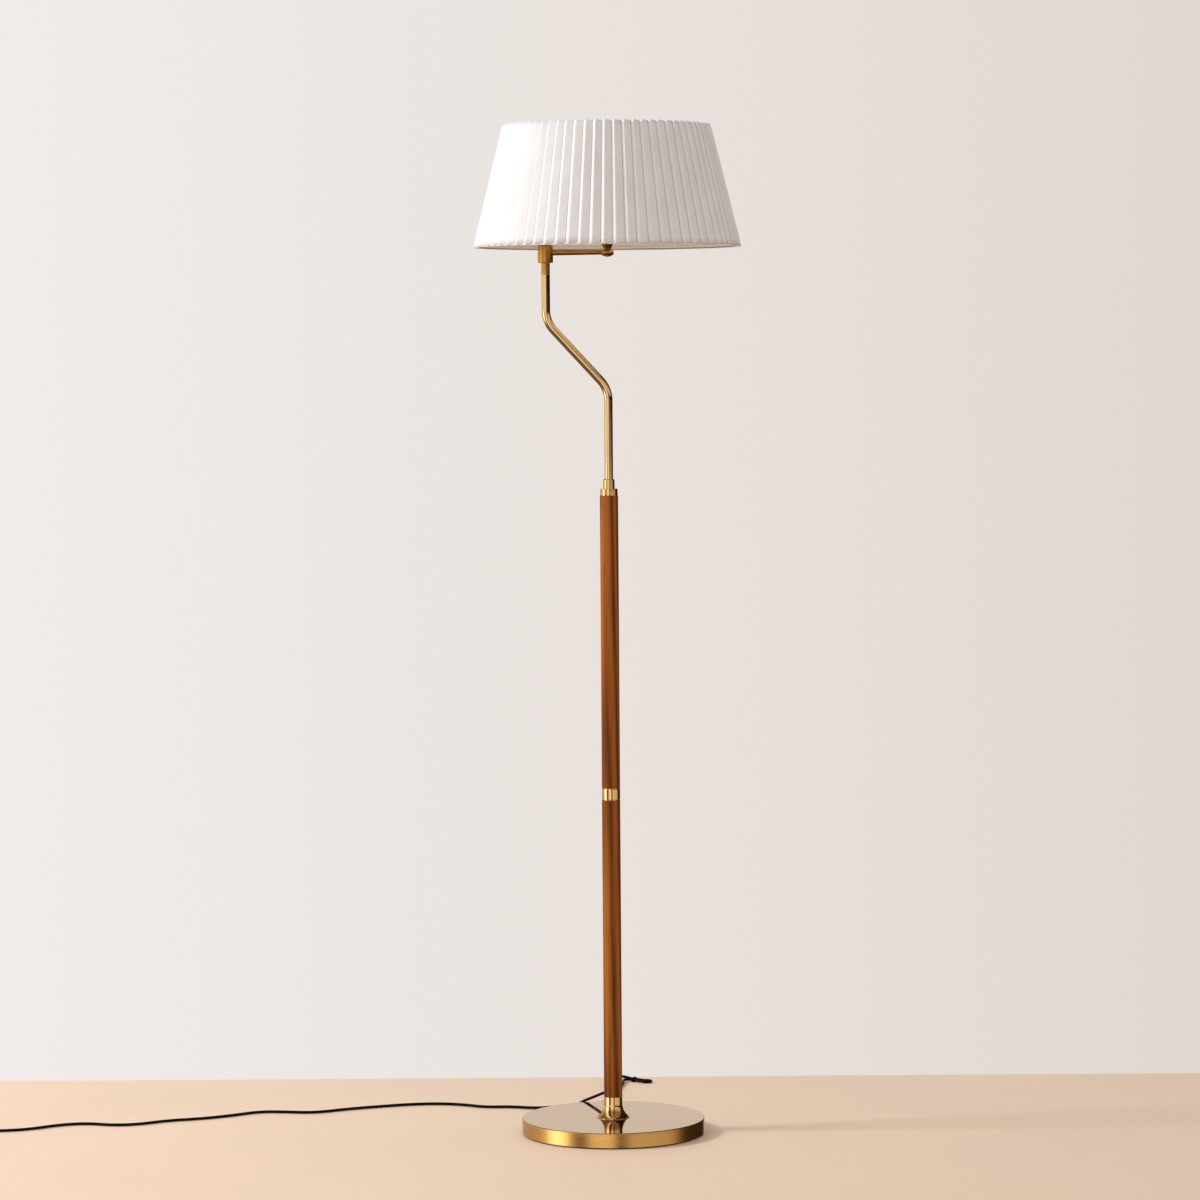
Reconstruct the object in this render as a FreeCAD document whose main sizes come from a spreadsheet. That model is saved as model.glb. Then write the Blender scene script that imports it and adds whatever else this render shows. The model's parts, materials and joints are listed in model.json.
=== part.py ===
"""Bridge floor lamp: a round disc foot, a two-part wooden column, a twice-bent tube and a swinging arm
that carries a pleated shade. Millimetres, +Z up, origin at the disc's centre on the floor, arm towards +X."""

import FreeCAD, Part
import math
import os
import re
import Sketcher

# Driving dimensions: alias, value, meaning. Every alias is two words or more joined by underscores.
SIZES = (
    ("disc_radius", 140.0, "outer radius of the disc's cover"),
    ("disc_height", 24.0, "height of the disc's top face"),
    ("disc_edge", 1.5, "rounding of the disc's top edge"),
    ("cover_wall", 1.2, "sheet of the spun cover"),
    ("cover_lift", 1.5, "gap between the cover's rim and the floor"),
    ("pad_radius", 137.0, "foam pad under the weight"),
    ("pad_height", 2.0, "thickness of the pad"),
    ("weight_gap", 0.5, "radial room of the iron weight in its cover"),
    ("recess_radius", 20.0, "nut recess under the weight"),
    ("recess_depth", 12.0, "nut recess under the weight"),
    ("rod_radius", 5.0, "threaded tie rod"),
    ("rod_bore", 3.3, "bore of the tie rod, which holds the lead"),
    ("rod_gap", 0.3, "room of the rod in plain holes"),
    ("thread_gap", 0.05, "room between mating threads and slip fits"),
    ("washer_radius", 15.0, "washer under the weight"),
    ("washer_height", 2.0, "washer under the weight"),
    ("nut_width", 17.0, "across the flats of the rod's nut"),
    ("nut_height", 6.0, "height of the rod's nut"),
    ("rod_tail", 1.5, "rod standing out below its nut"),
    ("column_radius", 14.0, "outer radius of the wooden column"),
    ("column_bore", 6.0, "bore along the wooden column"),
    ("spigot_radius", 8.0, "turned seats that line up the column"),
    ("spigot_length", 15.0, "length of a spigot"),
    ("spigot_room", 0.5, "depth left past a spigot"),
    ("lower_length", 458.0, "lower wooden length"),
    ("upper_length", 448.0, "upper wooden length"),
    ("ring_height", 18.0, "brass ring between the wooden lengths"),
    ("ring_neck", 1.2, "height of the shadow groove at each end of the ring"),
    ("ring_step", 0.7, "depth of the shadow groove"),
    ("flare_radius", 25.6, "lip of the flared collar"),
    ("flare_lip", 0.8, "height of the lip"),
    ("flare_rise", 22.0, "height at which the flare meets its neck"),
    ("flare_height", 32.0, "height of the flared collar"),
    ("flare_sweep", 27.0, "radius of the flare's hollow curve"),
    ("lead_height", 26.0, "height of the lead's hole above the disc"),
    ("lead_radius", 2.0, "inner lead"),
    ("lead_room", 0.4, "room of the lead in the tie rod's side hole"),
    ("lead_bend", 3.0, "corner to tangent of the lead's bend behind the bushing"),
    ("head_bend", 4.0, "corner to tangent of the lead's bends at the arm's ends"),
    ("lead_joint", 0.4, "gap between the stand's lead and the arm's"),
    ("cord_radius", 2.25, "mains cord"),
    ("bushing_radius", 3.2, "stem of the bushing in the collar's wall"),
    ("bushing_head", 4.5, "bushing where it leaves the collar"),
    ("bushing_tip", 3.0, "tapered end of the bushing"),
    ("bushing_length", 28.0, "tapered stretch of the bushing"),
    ("bushing_room", 0.3, "gap between the bushing's inner end and the tie rod's hole"),
    ("bushing_seat", 0.1, "bushing's shoulder outside the collar's neck"),
    ("cap_radius", 13.4, "ring on the column's top"),
    ("cap_height", 10.0, "ring on the column's top"),
    ("cap_chamfer", 0.5, "chamfer of the ring on the column's top"),
    ("collar_radius", 8.8, "collar that clamps the tube"),
    ("collar_height", 15.0, "collar that clamps the tube"),
    ("collar_grip", 7.0, "threaded part of the collar"),
    ("collar_edge", 1.2, "chamfer of the collar"),
    ("screw_radius", 1.5, "grub screw in the collar"),
    ("screw_height", 4.0, "grub screw above the tube's end"),
    ("screw_sink", 0.3, "grub screw below the collar's face"),
    ("key_radius", 0.75, "key hole of the grub screw"),
    ("key_depth", 1.0, "key hole of the grub screw"),
    ("tube_radius", 6.5, "bent tube"),
    ("tube_wall", 1.0, "bent tube"),
    ("tube_offset", 94.0, "sideways step of the bent tube"),
    ("tube_foot", 145.4, "tube's end to the lower bend's corner"),
    ("tube_rise", 102.4, "height between the bends' corners"),
    ("tube_head", 71.2, "upper bend's corner to the tube's top end"),
    ("bend_radius", 45.0, "centreline radius of both bends"),
    ("stem_height", 17.7, "visible sleeve of the pivot stem"),
    ("stem_bore", 2.6, "bore of the pivot stem"),
    ("stem_spigot", 15.0, "part of the stem inside the tube"),
    ("pin_radius", 5.0, "pivot pin"),
    ("pin_length", 9.5, "pivot pin above the stem's shoulder"),
    ("pin_gap", 0.05, "running clearance of the pivot"),
    ("slip_height", 0.5, "slip washer under the knuckle"),
    ("knuckle_radius", 11.5, "knuckle"),
    ("knuckle_height", 25.6, "knuckle without its cap"),
    ("knuckle_floor", 5.0, "bearing wall of the knuckle"),
    ("knuckle_cavity", 8.6, "hollow of the knuckle"),
    ("knuckle_edge", 0.6, "chamfer of the knuckle"),
    ("knuckle_dome", 3.0, "height of the knuckle's cap"),
    ("cap_plug", 3.0, "part of the cap inside the knuckle"),
    ("cap_edge", 0.6, "upright rim of the cap"),
    ("keeper_radius", 7.6, "nut that keeps the knuckle on its pin"),
    ("keeper_height", 3.6, "nut that keeps the knuckle on its pin"),
    ("spanner_radius", 1.0, "spanner hole of that nut"),
    ("arm_level", 15.3, "arm's axis above the knuckle's underside"),
    ("arm_reach", 94.0, "pivot axis to the shade's axis"),
    ("arm_root", 4.1, "arm's radius at the knuckle"),
    ("arm_tip", 3.4, "arm's radius at the hub"),
    ("arm_bore", 2.5, "bore of the arm"),
    ("arm_seat", 6.0, "plain stretch at each end of the arm"),
    ("arm_inset", 0.3, "arm's root inside the knuckle's wall"),
    ("arm_end_gap", 0.5, "gap between the arm's tip and the hub's bore"),
    ("hub_radius", 10.0, "hub at the arm's end"),
    ("hub_height", 9.7, "hub at the arm's end"),
    ("hub_face", 6.5, "flat faces of the hub"),
    ("hub_low", 4.0, "height of the hub's lower rounding"),
    ("hub_high", 6.0, "height at which the upper rounding starts"),
    ("hub_sweep", 5.4, "radius of the hub's roundings"),
    ("hub_level", 5.2, "arm's axis above the hub's underside"),
    ("plug_face", 5.6, "domed head of the hub's bottom screw"),
    ("plug_dome", 1.6, "domed head of the hub's bottom screw"),
    ("plug_edge", 0.5, "upright rim of the screw's head"),
    ("plug_shank", 2.3, "thread of the hub's bottom screw"),
    ("nipple_inset", 2.0, "thread of the nipple in the hub"),
    ("nipple_length", 25.0, "hollow threaded nipple"),
    ("nipple_bore", 2.9, "bore of the nipple"),
    ("cup_foot", 5.6, "foot of the lampholder's cup"),
    ("cup_mouth", 19.5, "mouth of the cup"),
    ("cup_height", 17.0, "height of the cup"),
    ("cup_sweep", 24.0, "radius of the cup's hollow curve"),
    ("cup_inner_sweep", 25.0, "radius of the same curve inside the cup"),
    ("cup_rim", 2.4, "width of the cup's upper edge"),
    ("cup_floor", 6.0, "thickness of the cup's foot"),
    ("cup_neck", 0.9, "inner radius of the cup's floor past its foot"),
    ("holder_radius", 19.5, "lampholder"),
    ("holder_boss", 7.5, "threaded boss under the lampholder"),
    ("boss_height", 8.0, "threaded boss under the lampholder"),
    ("holder_height", 22.0, "lower half of the lampholder"),
    ("holder_floor", 3.0, "floor of the lampholder"),
    ("holder_cavity", 16.0, "hollow of the lampholder"),
    ("holder_flange", 21.5, "flange that carries the shade"),
    ("flange_height", 2.0, "flange that carries the shade"),
    ("block_radius", 15.5, "ceramic contact block"),
    ("block_height", 16.0, "ceramic contact block"),
    ("block_relief", 4.0, "hollow under the contact block"),
    ("block_foot", 6.5, "radius of that hollow"),
    ("sleeve_height", 25.0, "upper half of the lampholder"),
    ("sleeve_bore", 14.2, "bore of the upper half"),
    ("shell_radius", 13.9, "brass screw shell"),
    ("shell_wall", 0.5, "brass screw shell"),
    ("shell_height", 24.0, "brass screw shell"),
    ("switch_level", 11.0, "switch axis above the lampholder's shoulder"),
    ("spindle_radius", 2.5, "switch spindle"),
    ("spindle_gap", 0.05, "running clearance of the spindle"),
    ("spindle_length", 17.5, "switch spindle"),
    ("spindle_inset", 0.1, "spindle's end inside the lampholder's hollow"),
    ("barrel_radius", 6.0, "threaded barrel of the switch"),
    ("barrel_length", 3.5, "threaded barrel of the switch"),
    ("knob_radius", 7.0, "switch knob"),
    ("knob_length", 12.0, "switch knob"),
    ("knob_gap", 0.5, "room between knob and barrel"),
    ("knob_edge", 1.0, "chamfer of the knob"),
    ("fitter_bore", 20.0, "ring of the shade's fitter"),
    ("fitter_radius", 25.0, "ring of the shade's fitter"),
    ("fitter_height", 2.0, "ring of the shade's fitter"),
    ("fitter_wire", 1.75, "arms of the fitter"),
    ("clamp_radius", 22.6, "threaded ring that holds the fitter down"),
    ("clamp_height", 6.0, "threaded ring that holds the fitter down"),
    ("shade_low", 204.3, "shade's outer radius at its lower edge"),
    ("shade_top", 158.3, "shade's outer radius at its upper edge"),
    ("shade_height", 185.0, "height of the shade"),
    ("shade_drop", 35.0, "lower edge below the fitter's seat"),
    ("pleat_depth", 3.2, "depth of the pleated cover"),
    ("liner_gap", 0.3, "room behind the pleats"),
    ("liner_wall", 0.6, "stiff liner"),
    ("wire_radius", 1.75, "wire rings of the shade"),
    ("wire_gap", 0.2, "room between wire and liner"),
    ("wire_inset", 3.0, "wire centre inside the shade's edge"),
    ("tape_height", 0.6, "binding tape on the shade's edges"),
    ("tape_width", 7.5, "binding tape on the shade's edges"),
    ("tape_inset", 0.5, "binding tape inside the shade's outer face"),
    ("bulb_radius", 30.0, "glass bulb"),
    ("bulb_wall", 1.0, "glass bulb"),
    ("bulb_neck", 13.3, "neck of the bulb"),
    ("neck_height", 8.0, "height of the bulb's neck"),
    ("neck_flare", 0.7, "widening of the bulb's neck"),
    ("bulb_centre", 54.0, "middle of the bulb's round above its neck"),
    ("bulb_cap", 13.1, "screw cap of the bulb"),
    ("bulb_cap_height", 25.5, "screw cap of the bulb"),
    ("contact_radius", 4.5, "contact at the bulb's foot"),
    ("contact_height", 4.0, "insulator between the contact and the screw cap"),
    ("contact_bevel", 1.0, "bevel at the start of the screw cap"),
    ("bulb_seat", 0.3, "room under the bulb's contact"),
    ("tie_wall", 1.2, "tie round the cord's fold"),
    ("tie_width", 4.0, "tie round the cord's fold"),
    ("tie_gap", 0.3, "room of the cord in its tie"),
    ("coil_outer", 27.0, "outer turns of the coil, to the cord's middle"),
    ("coil_inner", 22.5, "inner turns of the coil, to the cord's middle"),
    ("coil_layers", 2.0, "layers of turns"),
    ("coil_room", 0.25, "coil solid past its turns"),
    ("coil_lift", 0.1, "coil's underside above the floor"),
    ("plug_height", 13.8, "thickness of the plug"),
    ("plug_width", 25.0, "width of the plug at its face"),
    ("plug_rear", 14.0, "width of the plug at its rear"),
    ("plug_length", 34.0, "length of the plug's body"),
    ("plug_taper", 20.4, "tapered part of the plug's body"),
    ("plug_round", 2.5, "rounding of the plug's sides"),
    ("relief_length", 18.0, "tapered relief behind the plug"),
    ("relief_radius", 5.5, "relief where it meets the plug"),
    ("relief_tip", 2.75, "relief where the cord enters it"),
    ("prong_radius", 2.0, "contact pins of the plug and their flush insulating sleeves"),
    ("prong_length", 19.0, "contact pins of the plug"),
    ("prong_root", 6.0, "pin inside the plug's body"),
    ("prong_core", 1.5, "pin inside its insulating sleeve"),
    ("prong_sleeve", 10.0, "length of the insulating sleeve"),
    ("prong_tip", 0.8, "chamfer of the pin's tip"),
    ("prong_spacing", 18.6, "middle to middle of the pins"),
)

# Angles of the fitter's three arms, seen from above.
FITTER_ANGLES = (90.0, 210.0, 330.0)

# Route of the free cord: the bushing's end, over the disc's rear edge, the fold behind the column held by
# the tie, and the run along the floor to the coil.
CORD_ROUTE = (
    (0, 42.1, 50), (0, 61, 50), (-2, 80, 50.4), (-6, 99, 48.5), (-15, 115, 44), (-29, 127, 37.5),
    (-44.5, 136.2, 30), (-58, 143.5, 22.5), (-66, 155, 12.5), (-67, 170, 4.3), (-58, 187, 2.4),
    (-40, 202, 2.4), (-21, 216, 2.4), (-5, 238, 2.4), (3, 274, 2.4), (7, 318, 2.4), (8, 364, 2.4),
    (12.6, 399, 2.4), (16.4, 421.5, 2.6), (19.3, 433.6, 3), (22.2, 443.5, 3.4), (23.9, 449.3, 3.8),
    (26.5, 451.5, 3.8), (29.9, 451.8, 3.8), (36.5, 448.3, 3.8), (45.4, 442.8, 3), (51.5, 437.7, 2.4),
    (55.8, 437.8, 2.4), (59, 440.7, 2.4), (59.5, 445, 2.4), (57, 448.5, 2.4), (49.2, 450.4, 2.4),
    (40.4, 453.5, 3.8), (31.6, 458.2, 3.8), (22.7, 461.6, 6), (9.7, 462.3, 8.2), (-3, 456.1, 8.2),
    (-10.5, 444.5, 6.4), (-12.5, 428, 4.2), (-8.5, 396, 2.4), (-7, 355, 2.4), (-7.5, 312, 2.4),
    (-12, 272, 2.4), (-32, 245, 2.4), (-62, 227, 2.4), (-92, 212, 2.4), (-122, 201, 2.4), (-163, 217, 2.4),
    (-204, 214, 2.4), (-236, 236, 2.4), (-276, 249, 2.4), (-328, 243, 2.4), (-380, 223, 2.4),
    (-424, 204, 2.4), (-472, 174, 2.4), (-520, 184, 2.4), (-560, 187, 2.4), (-604, 152, 2.4),
    (-650, 127, 2.4), (-698, 114, 2.4), (-742, 82, 2.4), (-782, 78, 2.4), (-820, 95, 2.4), (-862, 84, 2.4),
    (-906, 47, 2.4), (-946, 36, 2.4), (-981, 37, 2.4), (-1008, 35, 2.4),
)

# The fold's tie: its middle on the floor plan, its turn about the vertical, and the two strands' spacing.
TIE_PLACE = (34.5, 453.0, 3.8)
TIE_TURN = -28.0
TIE_SPREAD = 6.4

# Coil of the put-away length, and the plug beside it.
COIL_CENTRE = (-1008.0, 8.0)
PLUG_START = (-1035.0, -3.0)

# Turn of the tie rod's nut about its axis.
NUT_TURN = 7.0

# Share of a run that a bend at its end may take, how far a bar's volume may be from the expected one, and
# how far an edge may be from the place where it is looked for.
BEND_SHARE = 0.45
VOLUME_TOLERANCE = 0.01
PLACE_TOLERANCE = 0.01

DOC = FreeCAD.newDocument("bridge_floor_lamp")
SHEET = DOC.addObject("Spreadsheet::Sheet", "Sizes")
NODES = []


def expression(text):
    """Turn bare aliases into references to the sheet."""
    return re.sub(r"\b([a-z]+(?:_[a-z]+)+)\b", r"Sizes.\1", text)


def number(text):
    """Value of an expression of aliases."""
    value = SHEET.evalExpression(expression(text))
    return float(getattr(value, "Value", value))


def bind(item, prop, text):
    """Bind a property to an expression of aliases."""
    item.setExpression(prop, expression(text))


def fill_sheet():
    """Write the driving dimensions into the sheet."""
    for row, (alias, value, meaning) in enumerate(SIZES, start=1):
        SHEET.set(f"A{row}", meaning)
        SHEET.set(f"B{row}", str(value))
        SHEET.setAlias(f"B{row}", alias)
    DOC.recompute()


def keep(item, label):
    """Record an object as one of the lamp's pieces."""
    item.Label = label
    NODES.append(item)
    return item


def place(item, x="0", y="0", z="0", axis=(0, 0, 1), angle=0.0):
    """Turn an object and bind its place to expressions."""
    item.Placement = FreeCAD.Placement(FreeCAD.Vector(), FreeCAD.Rotation(FreeCAD.Vector(*axis), angle))
    for name, text in (("x", x), ("y", y), ("z", z)):
        if text != "0":
            bind(item, f"Placement.Base.{name}", text)


def base_plane(body, role):
    """One of a body's own origin planes."""
    return next(feature for feature in body.Origin.OriginFeatures if feature.Role == role)


def new_sketch(body, name, role):
    """Sketch on one of a body's origin planes."""
    sketch = body.newObject("Sketcher::SketchObject", name)
    sketch.AttachmentSupport = (base_plane(body, role), [""])
    sketch.MapMode = "FlatFace"
    return sketch


def arc_between(start, end, radius, side):
    """Arc of a circle from start to end, its centre to the left (side 1) or right (side -1) of the way."""
    chord = end - start
    middle = (start + end) * 0.5
    left = FreeCAD.Vector(-chord.y, chord.x, 0)
    left.normalize()
    rise = math.sqrt(max(radius ** 2 - (chord.Length / 2) ** 2, 0.0))
    centre = middle + left * (rise * side)
    first, last = (start, end) if side > 0 else (end, start)
    low = math.atan2(first.y - centre.y, first.x - centre.x)
    high = math.atan2(last.y - centre.y, last.x - centre.x)
    circle = Part.Circle(centre, FreeCAD.Vector(0, 0, 1), radius)
    return Part.ArcOfCircle(circle, low, high if high > low else high + 2 * math.pi)


def fix_distance(sketch, kind, item, vertex, text):
    """Bind a vertex's distance from the sketch's origin, or put it on the axis where that is nought."""
    value = number(text)
    if abs(value) < 1e-9:
        axis = -2 if kind == "DistanceX" else -1
        sketch.addConstraint(Sketcher.Constraint("PointOnObject", item, vertex, axis))
        return
    index = sketch.addConstraint(Sketcher.Constraint(kind, -1, 1, item, vertex, value))
    bind(sketch, f"Constraints[{index}]", text)


def draw_outline(sketch, outline):
    """Closed outline of corners (across, up) or (across, up, radius, side), the last two for an arc that
    leads to the next corner."""
    points = [FreeCAD.Vector(number(corner[0]), number(corner[1]), 0) for corner in outline]
    starts = []
    ends = []
    for index, corner in enumerate(outline):
        start = points[index]
        end = points[(index + 1) % len(points)]
        if len(corner) == 2:
            item = sketch.addGeometry(Part.LineSegment(start, end))
            starts.append((item, 1))
            ends.append((item, 2))
            continue
        item = sketch.addGeometry(arc_between(start, end, number(corner[2]), corner[3]))
        starts.append((item, 1 if corner[3] > 0 else 2))
        ends.append((item, 2 if corner[3] > 0 else 1))
    for index, corner in enumerate(outline):
        item, vertex = starts[index]
        sketch.addConstraint(Sketcher.Constraint("Coincident", *ends[index - 1], item, vertex))
        fix_distance(sketch, "DistanceX", item, vertex, corner[0])
        fix_distance(sketch, "DistanceY", item, vertex, corner[1])
    for index, corner in enumerate(outline):
        if len(corner) > 2:
            bound = sketch.addConstraint(Sketcher.Constraint("Radius", starts[index][0], number(corner[2])))
            bind(sketch, f"Constraints[{bound}]", corner[2])


def turned(label, outline, **where):
    """Body turned about its own Z axis from an outline of radii and heights."""
    body = keep(DOC.addObject("PartDesign::Body", label), label)
    sketch = new_sketch(body, f"{label}_outline", "XZ_Plane")
    draw_outline(sketch, outline)
    feature = body.newObject("PartDesign::Revolution", f"{label}_turned")
    feature.Profile = sketch
    feature.ReferenceAxis = (sketch, ["V_Axis"])
    feature.Angle = 360
    place(body, **where)
    return body


def dome_radius(radius, rise):
    """Radius of the sphere that a dome of a given foot and rise belongs to."""
    return f"(({radius})^2 + ({rise})^2) / (2 * ({rise}))"


def ring_outline(inner, outer, low, high):
    """Four corners of a plain ring's section."""
    return ((inner, low), (outer, low), (outer, high), (inner, high))


def draw_circle(sketch, radius, level="0"):
    """Circle on the sketch's upright axis, bound to its radius and its height."""
    centre = FreeCAD.Vector(0, number(level), 0)
    circle = sketch.addGeometry(Part.Circle(centre, FreeCAD.Vector(0, 0, 1), number(radius)))
    fix_distance(sketch, "DistanceX", circle, 3, "0")
    fix_distance(sketch, "DistanceY", circle, 3, level)
    bound = sketch.addConstraint(Sketcher.Constraint("Radius", circle, number(radius)))
    bind(sketch, f"Constraints[{bound}]", radius)


def cross_hole(body, name, role, radius, level, depth, reverse):
    """Round hole from a body's axis outwards, square to an origin plane, at a height on the axis."""
    DOC.recompute()
    volume = body.Shape.Volume
    sketch = new_sketch(body, f"{name}_circle", role)
    draw_circle(sketch, radius, level)
    pocket = body.newObject("PartDesign::Pocket", name)
    pocket.Profile = sketch
    pocket.Reversed = reverse
    bind(pocket, "Length", depth)
    DOC.recompute()
    if body.Shape.Volume >= volume - VOLUME_TOLERANCE:
        raise RuntimeError(f"{name} cuts nothing")


def swept(points, section_radius):
    """Round bar along straight runs and tangent arcs, each arc as large as its two runs allow."""
    corners = [FreeCAD.Vector(*point) for point in points]
    edges = []
    radii = []
    length = 0.0
    position = corners[0]
    for before, corner, after in zip(corners, corners[1:], corners[2:]):
        back = before - corner
        onward = after - corner
        reach = BEND_SHARE * min(back.Length, onward.Length)
        back.normalize()
        onward.normalize()
        half_turn = (math.pi - back.getAngle(onward)) / 2
        radius = reach / math.tan(half_turn)
        enter = corner + back * reach
        leave = corner + onward * reach
        inward = back + onward
        inward.normalize()
        middle = corner + inward * (radius / math.cos(half_turn) - radius)
        edges.append(Part.LineSegment(position, enter).toShape())
        edges.append(Part.Arc(enter, middle, leave).toShape())
        length += (enter - position).Length + radius * 2 * half_turn
        radii.append(radius)
        position = leave
    edges.append(Part.LineSegment(position, corners[-1]).toShape())
    length += (corners[-1] - position).Length
    path = Part.Wire(edges)
    circle = Part.Circle(corners[0], corners[1] - corners[0], section_radius)
    bar = path.makePipeShell([Part.Wire(circle.toShape())], True, False)
    expected = math.pi * section_radius ** 2 * length
    if abs(bar.Volume - expected) > VOLUME_TOLERANCE * expected:
        raise RuntimeError(f"bar volume {bar.Volume:.0f} is not {expected:.0f}")
    return bar, length, radii


def feature(label, shape):
    """Piece whose shape is worked out from the sheet's values."""
    item = keep(DOC.addObject("Part::Feature", label), label)
    item.Shape = shape
    item.Placement = FreeCAD.Placement()
    return item


# Heights of the seats, as expressions.
RECESS_TOP = "pad_height + recess_depth"
FLARE_TOP = "disc_height + flare_height"
RING_LOW = f"{FLARE_TOP} + lower_length"
RING_TOP = f"{RING_LOW} + ring_height"
COLUMN_TOP = f"{RING_TOP} + upper_length"
COLLAR_LOW = f"{COLUMN_TOP} + cap_height"
TUBE_LOW = f"{COLLAR_LOW} + collar_grip"
TUBE_TOP = f"{TUBE_LOW} + tube_foot + tube_rise + tube_head"
STEM_TOP = f"{TUBE_TOP} + stem_height"
KNUCKLE_LOW = f"{STEM_TOP} + slip_height"
ARM_AXIS = f"{KNUCKLE_LOW} + arm_level"
HUB_LOW = f"{ARM_AXIS} - hub_level"
HUB_TOP = f"{HUB_LOW} + hub_height"
HOLDER_LOW = f"{HUB_TOP} + cup_height"
FITTER_SEAT = f"{HOLDER_LOW} + holder_height"
BLOCK_TOP = f"{HOLDER_LOW} + holder_floor + block_height"
SHADE_LOW = f"{FITTER_SEAT} - shade_drop"
PIVOT_X = "-tube_offset"
HEAD_X = "arm_reach - tube_offset"
SLOPE = "(shade_low - shade_top) / shade_height"


def make_foot():
    """Pad, weight, cover, washer and nut of the disc."""
    turned("base_pad", ring_outline("0", "pad_radius", "0", "pad_height"))
    inner = "disc_radius - cover_wall - weight_gap"
    hole = "rod_radius + rod_gap"
    top = "disc_height - cover_wall - pad_height"
    turned("base_weight", ((hole, "recess_depth"), ("recess_radius", "recess_depth"), ("recess_radius", "0"),
                           (inner, "0"), (inner, top), (hole, top)), z="pad_height")
    rim = "disc_radius - cover_wall"
    high = "disc_height - cover_lift"
    turned("base_shell", ((hole, f"{high} - cover_wall"), (rim, f"{high} - cover_wall"), (rim, "0"),
                          ("disc_radius", "0"), ("disc_radius", f"{high} - disc_edge", "disc_edge", 1),
                          ("disc_radius - disc_edge", high), (hole, high)), z="cover_lift")
    turned("base_washer", ring_outline(hole, "washer_radius", "0", "washer_height"),
           z=f"{RECESS_TOP} - washer_height")
    nut = keep(DOC.addObject("PartDesign::Body", "base_nut"), "base_nut")
    sketch = new_sketch(nut, "base_nut_hexagon", "XY_Plane")
    corner = "nut_width / sqrt(3)"
    angles = [60 * side + NUT_TURN for side in range(6)]
    draw_outline(sketch, [(f"{corner} * cos({angle})", f"{corner} * sin({angle})") for angle in angles])
    draw_circle(sketch, "rod_radius + thread_gap")
    pad = nut.newObject("PartDesign::Pad", "base_nut_pad")
    pad.Profile = sketch
    bind(pad, "Length", "nut_height")
    place(nut, z=f"{RECESS_TOP} - washer_height - nut_height")


def make_column():
    """Flared collar, tie rod, both wooden lengths, the ring between them and the fittings on top."""
    hole = "rod_radius + rod_gap"
    spigot = "spigot_radius - thread_gap"
    collar = turned("flare_collar", (
        (hole, "0"), ("flare_radius", "0"), ("flare_radius", "flare_lip", "flare_sweep", -1),
        ("column_radius", "flare_rise"), ("column_radius", "flare_height"), (spigot, "flare_height"),
        (spigot, "flare_height + spigot_length"), (hole, "flare_height + spigot_length")), z="disc_height")
    cross_hole(collar, "lead_hole", "XZ_Plane", "bushing_radius + thread_gap", "lead_height",
               "column_radius * 2", False)
    rod_low = f"{RECESS_TOP} - washer_height - nut_height - rod_tail"
    rod_length = f"{TUBE_LOW} - ({rod_low})"
    rod = turned("tie_rod", ring_outline("rod_bore", "rod_radius", "0", rod_length), z=rod_low)
    cross_hole(rod, "rod_slot", "XZ_Plane", "lead_radius + lead_room",
               f"disc_height + lead_height - ({rod_low})", "rod_radius * 2", False)
    seat = "spigot_length + spigot_room"
    for label, length, low in (("lower_column", "lower_length", FLARE_TOP),
                               ("upper_column", "upper_length", RING_TOP)):
        turned(label, (
            ("spigot_radius", "0"), ("column_radius", "0"), ("column_radius", length),
            ("spigot_radius", length), ("spigot_radius", f"{length} - ({seat})"),
            ("column_bore", f"{length} - ({seat})"), ("column_bore", seat), ("spigot_radius", seat)), z=low)
    neck = "column_radius - ring_step"
    ring_top = "spigot_length + ring_height"
    turned("middle_ring", (
        (hole, "0"), (spigot, "0"), (spigot, "spigot_length"), (neck, "spigot_length"),
        (neck, "spigot_length + ring_neck"), ("column_radius", "spigot_length + ring_neck"),
        ("column_radius", f"{ring_top} - ring_neck"), (neck, f"{ring_top} - ring_neck"), (neck, ring_top),
        (spigot, ring_top), (spigot, f"{ring_top} + spigot_length"), (hole, f"{ring_top} + spigot_length")),
        z=f"{RING_LOW} - spigot_length")
    cap_top = "spigot_length + cap_height"
    turned("cap_ring", ((hole, "0"), (spigot, "0"), (spigot, "spigot_length"),
                        ("cap_radius", "spigot_length"),
                        ("cap_radius", f"{cap_top} - cap_chamfer"), ("cap_radius - cap_chamfer", cap_top),
                        (hole, cap_top)),
           z=f"{COLUMN_TOP} - spigot_length")
    grip = "rod_radius + thread_gap"
    socket = "tube_radius + thread_gap"
    clamp = turned("tube_collar", (
        (grip, "0"), ("collar_radius", "0"), ("collar_radius", "collar_height - collar_edge"),
        ("collar_radius - collar_edge", "collar_height"), (socket, "collar_height"), (socket, "collar_grip"),
        (grip, "collar_grip")), z=COLLAR_LOW)
    cross_hole(clamp, "screw_hole", "XZ_Plane", "screw_radius + thread_gap", "collar_grip + screw_height",
               "collar_radius * 2", False)
    length = "collar_radius - tube_radius - screw_sink"
    turned("collar_screw", (("0", "0"), ("screw_radius", "0"), ("screw_radius", length),
                            ("key_radius", length), ("key_radius", f"{length} - key_depth"),
                            ("0", f"{length} - key_depth")),
           y="tube_radius + thread_gap", z=f"{TUBE_LOW} + screw_height", axis=(1, 0, 0), angle=-90.0)


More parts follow.
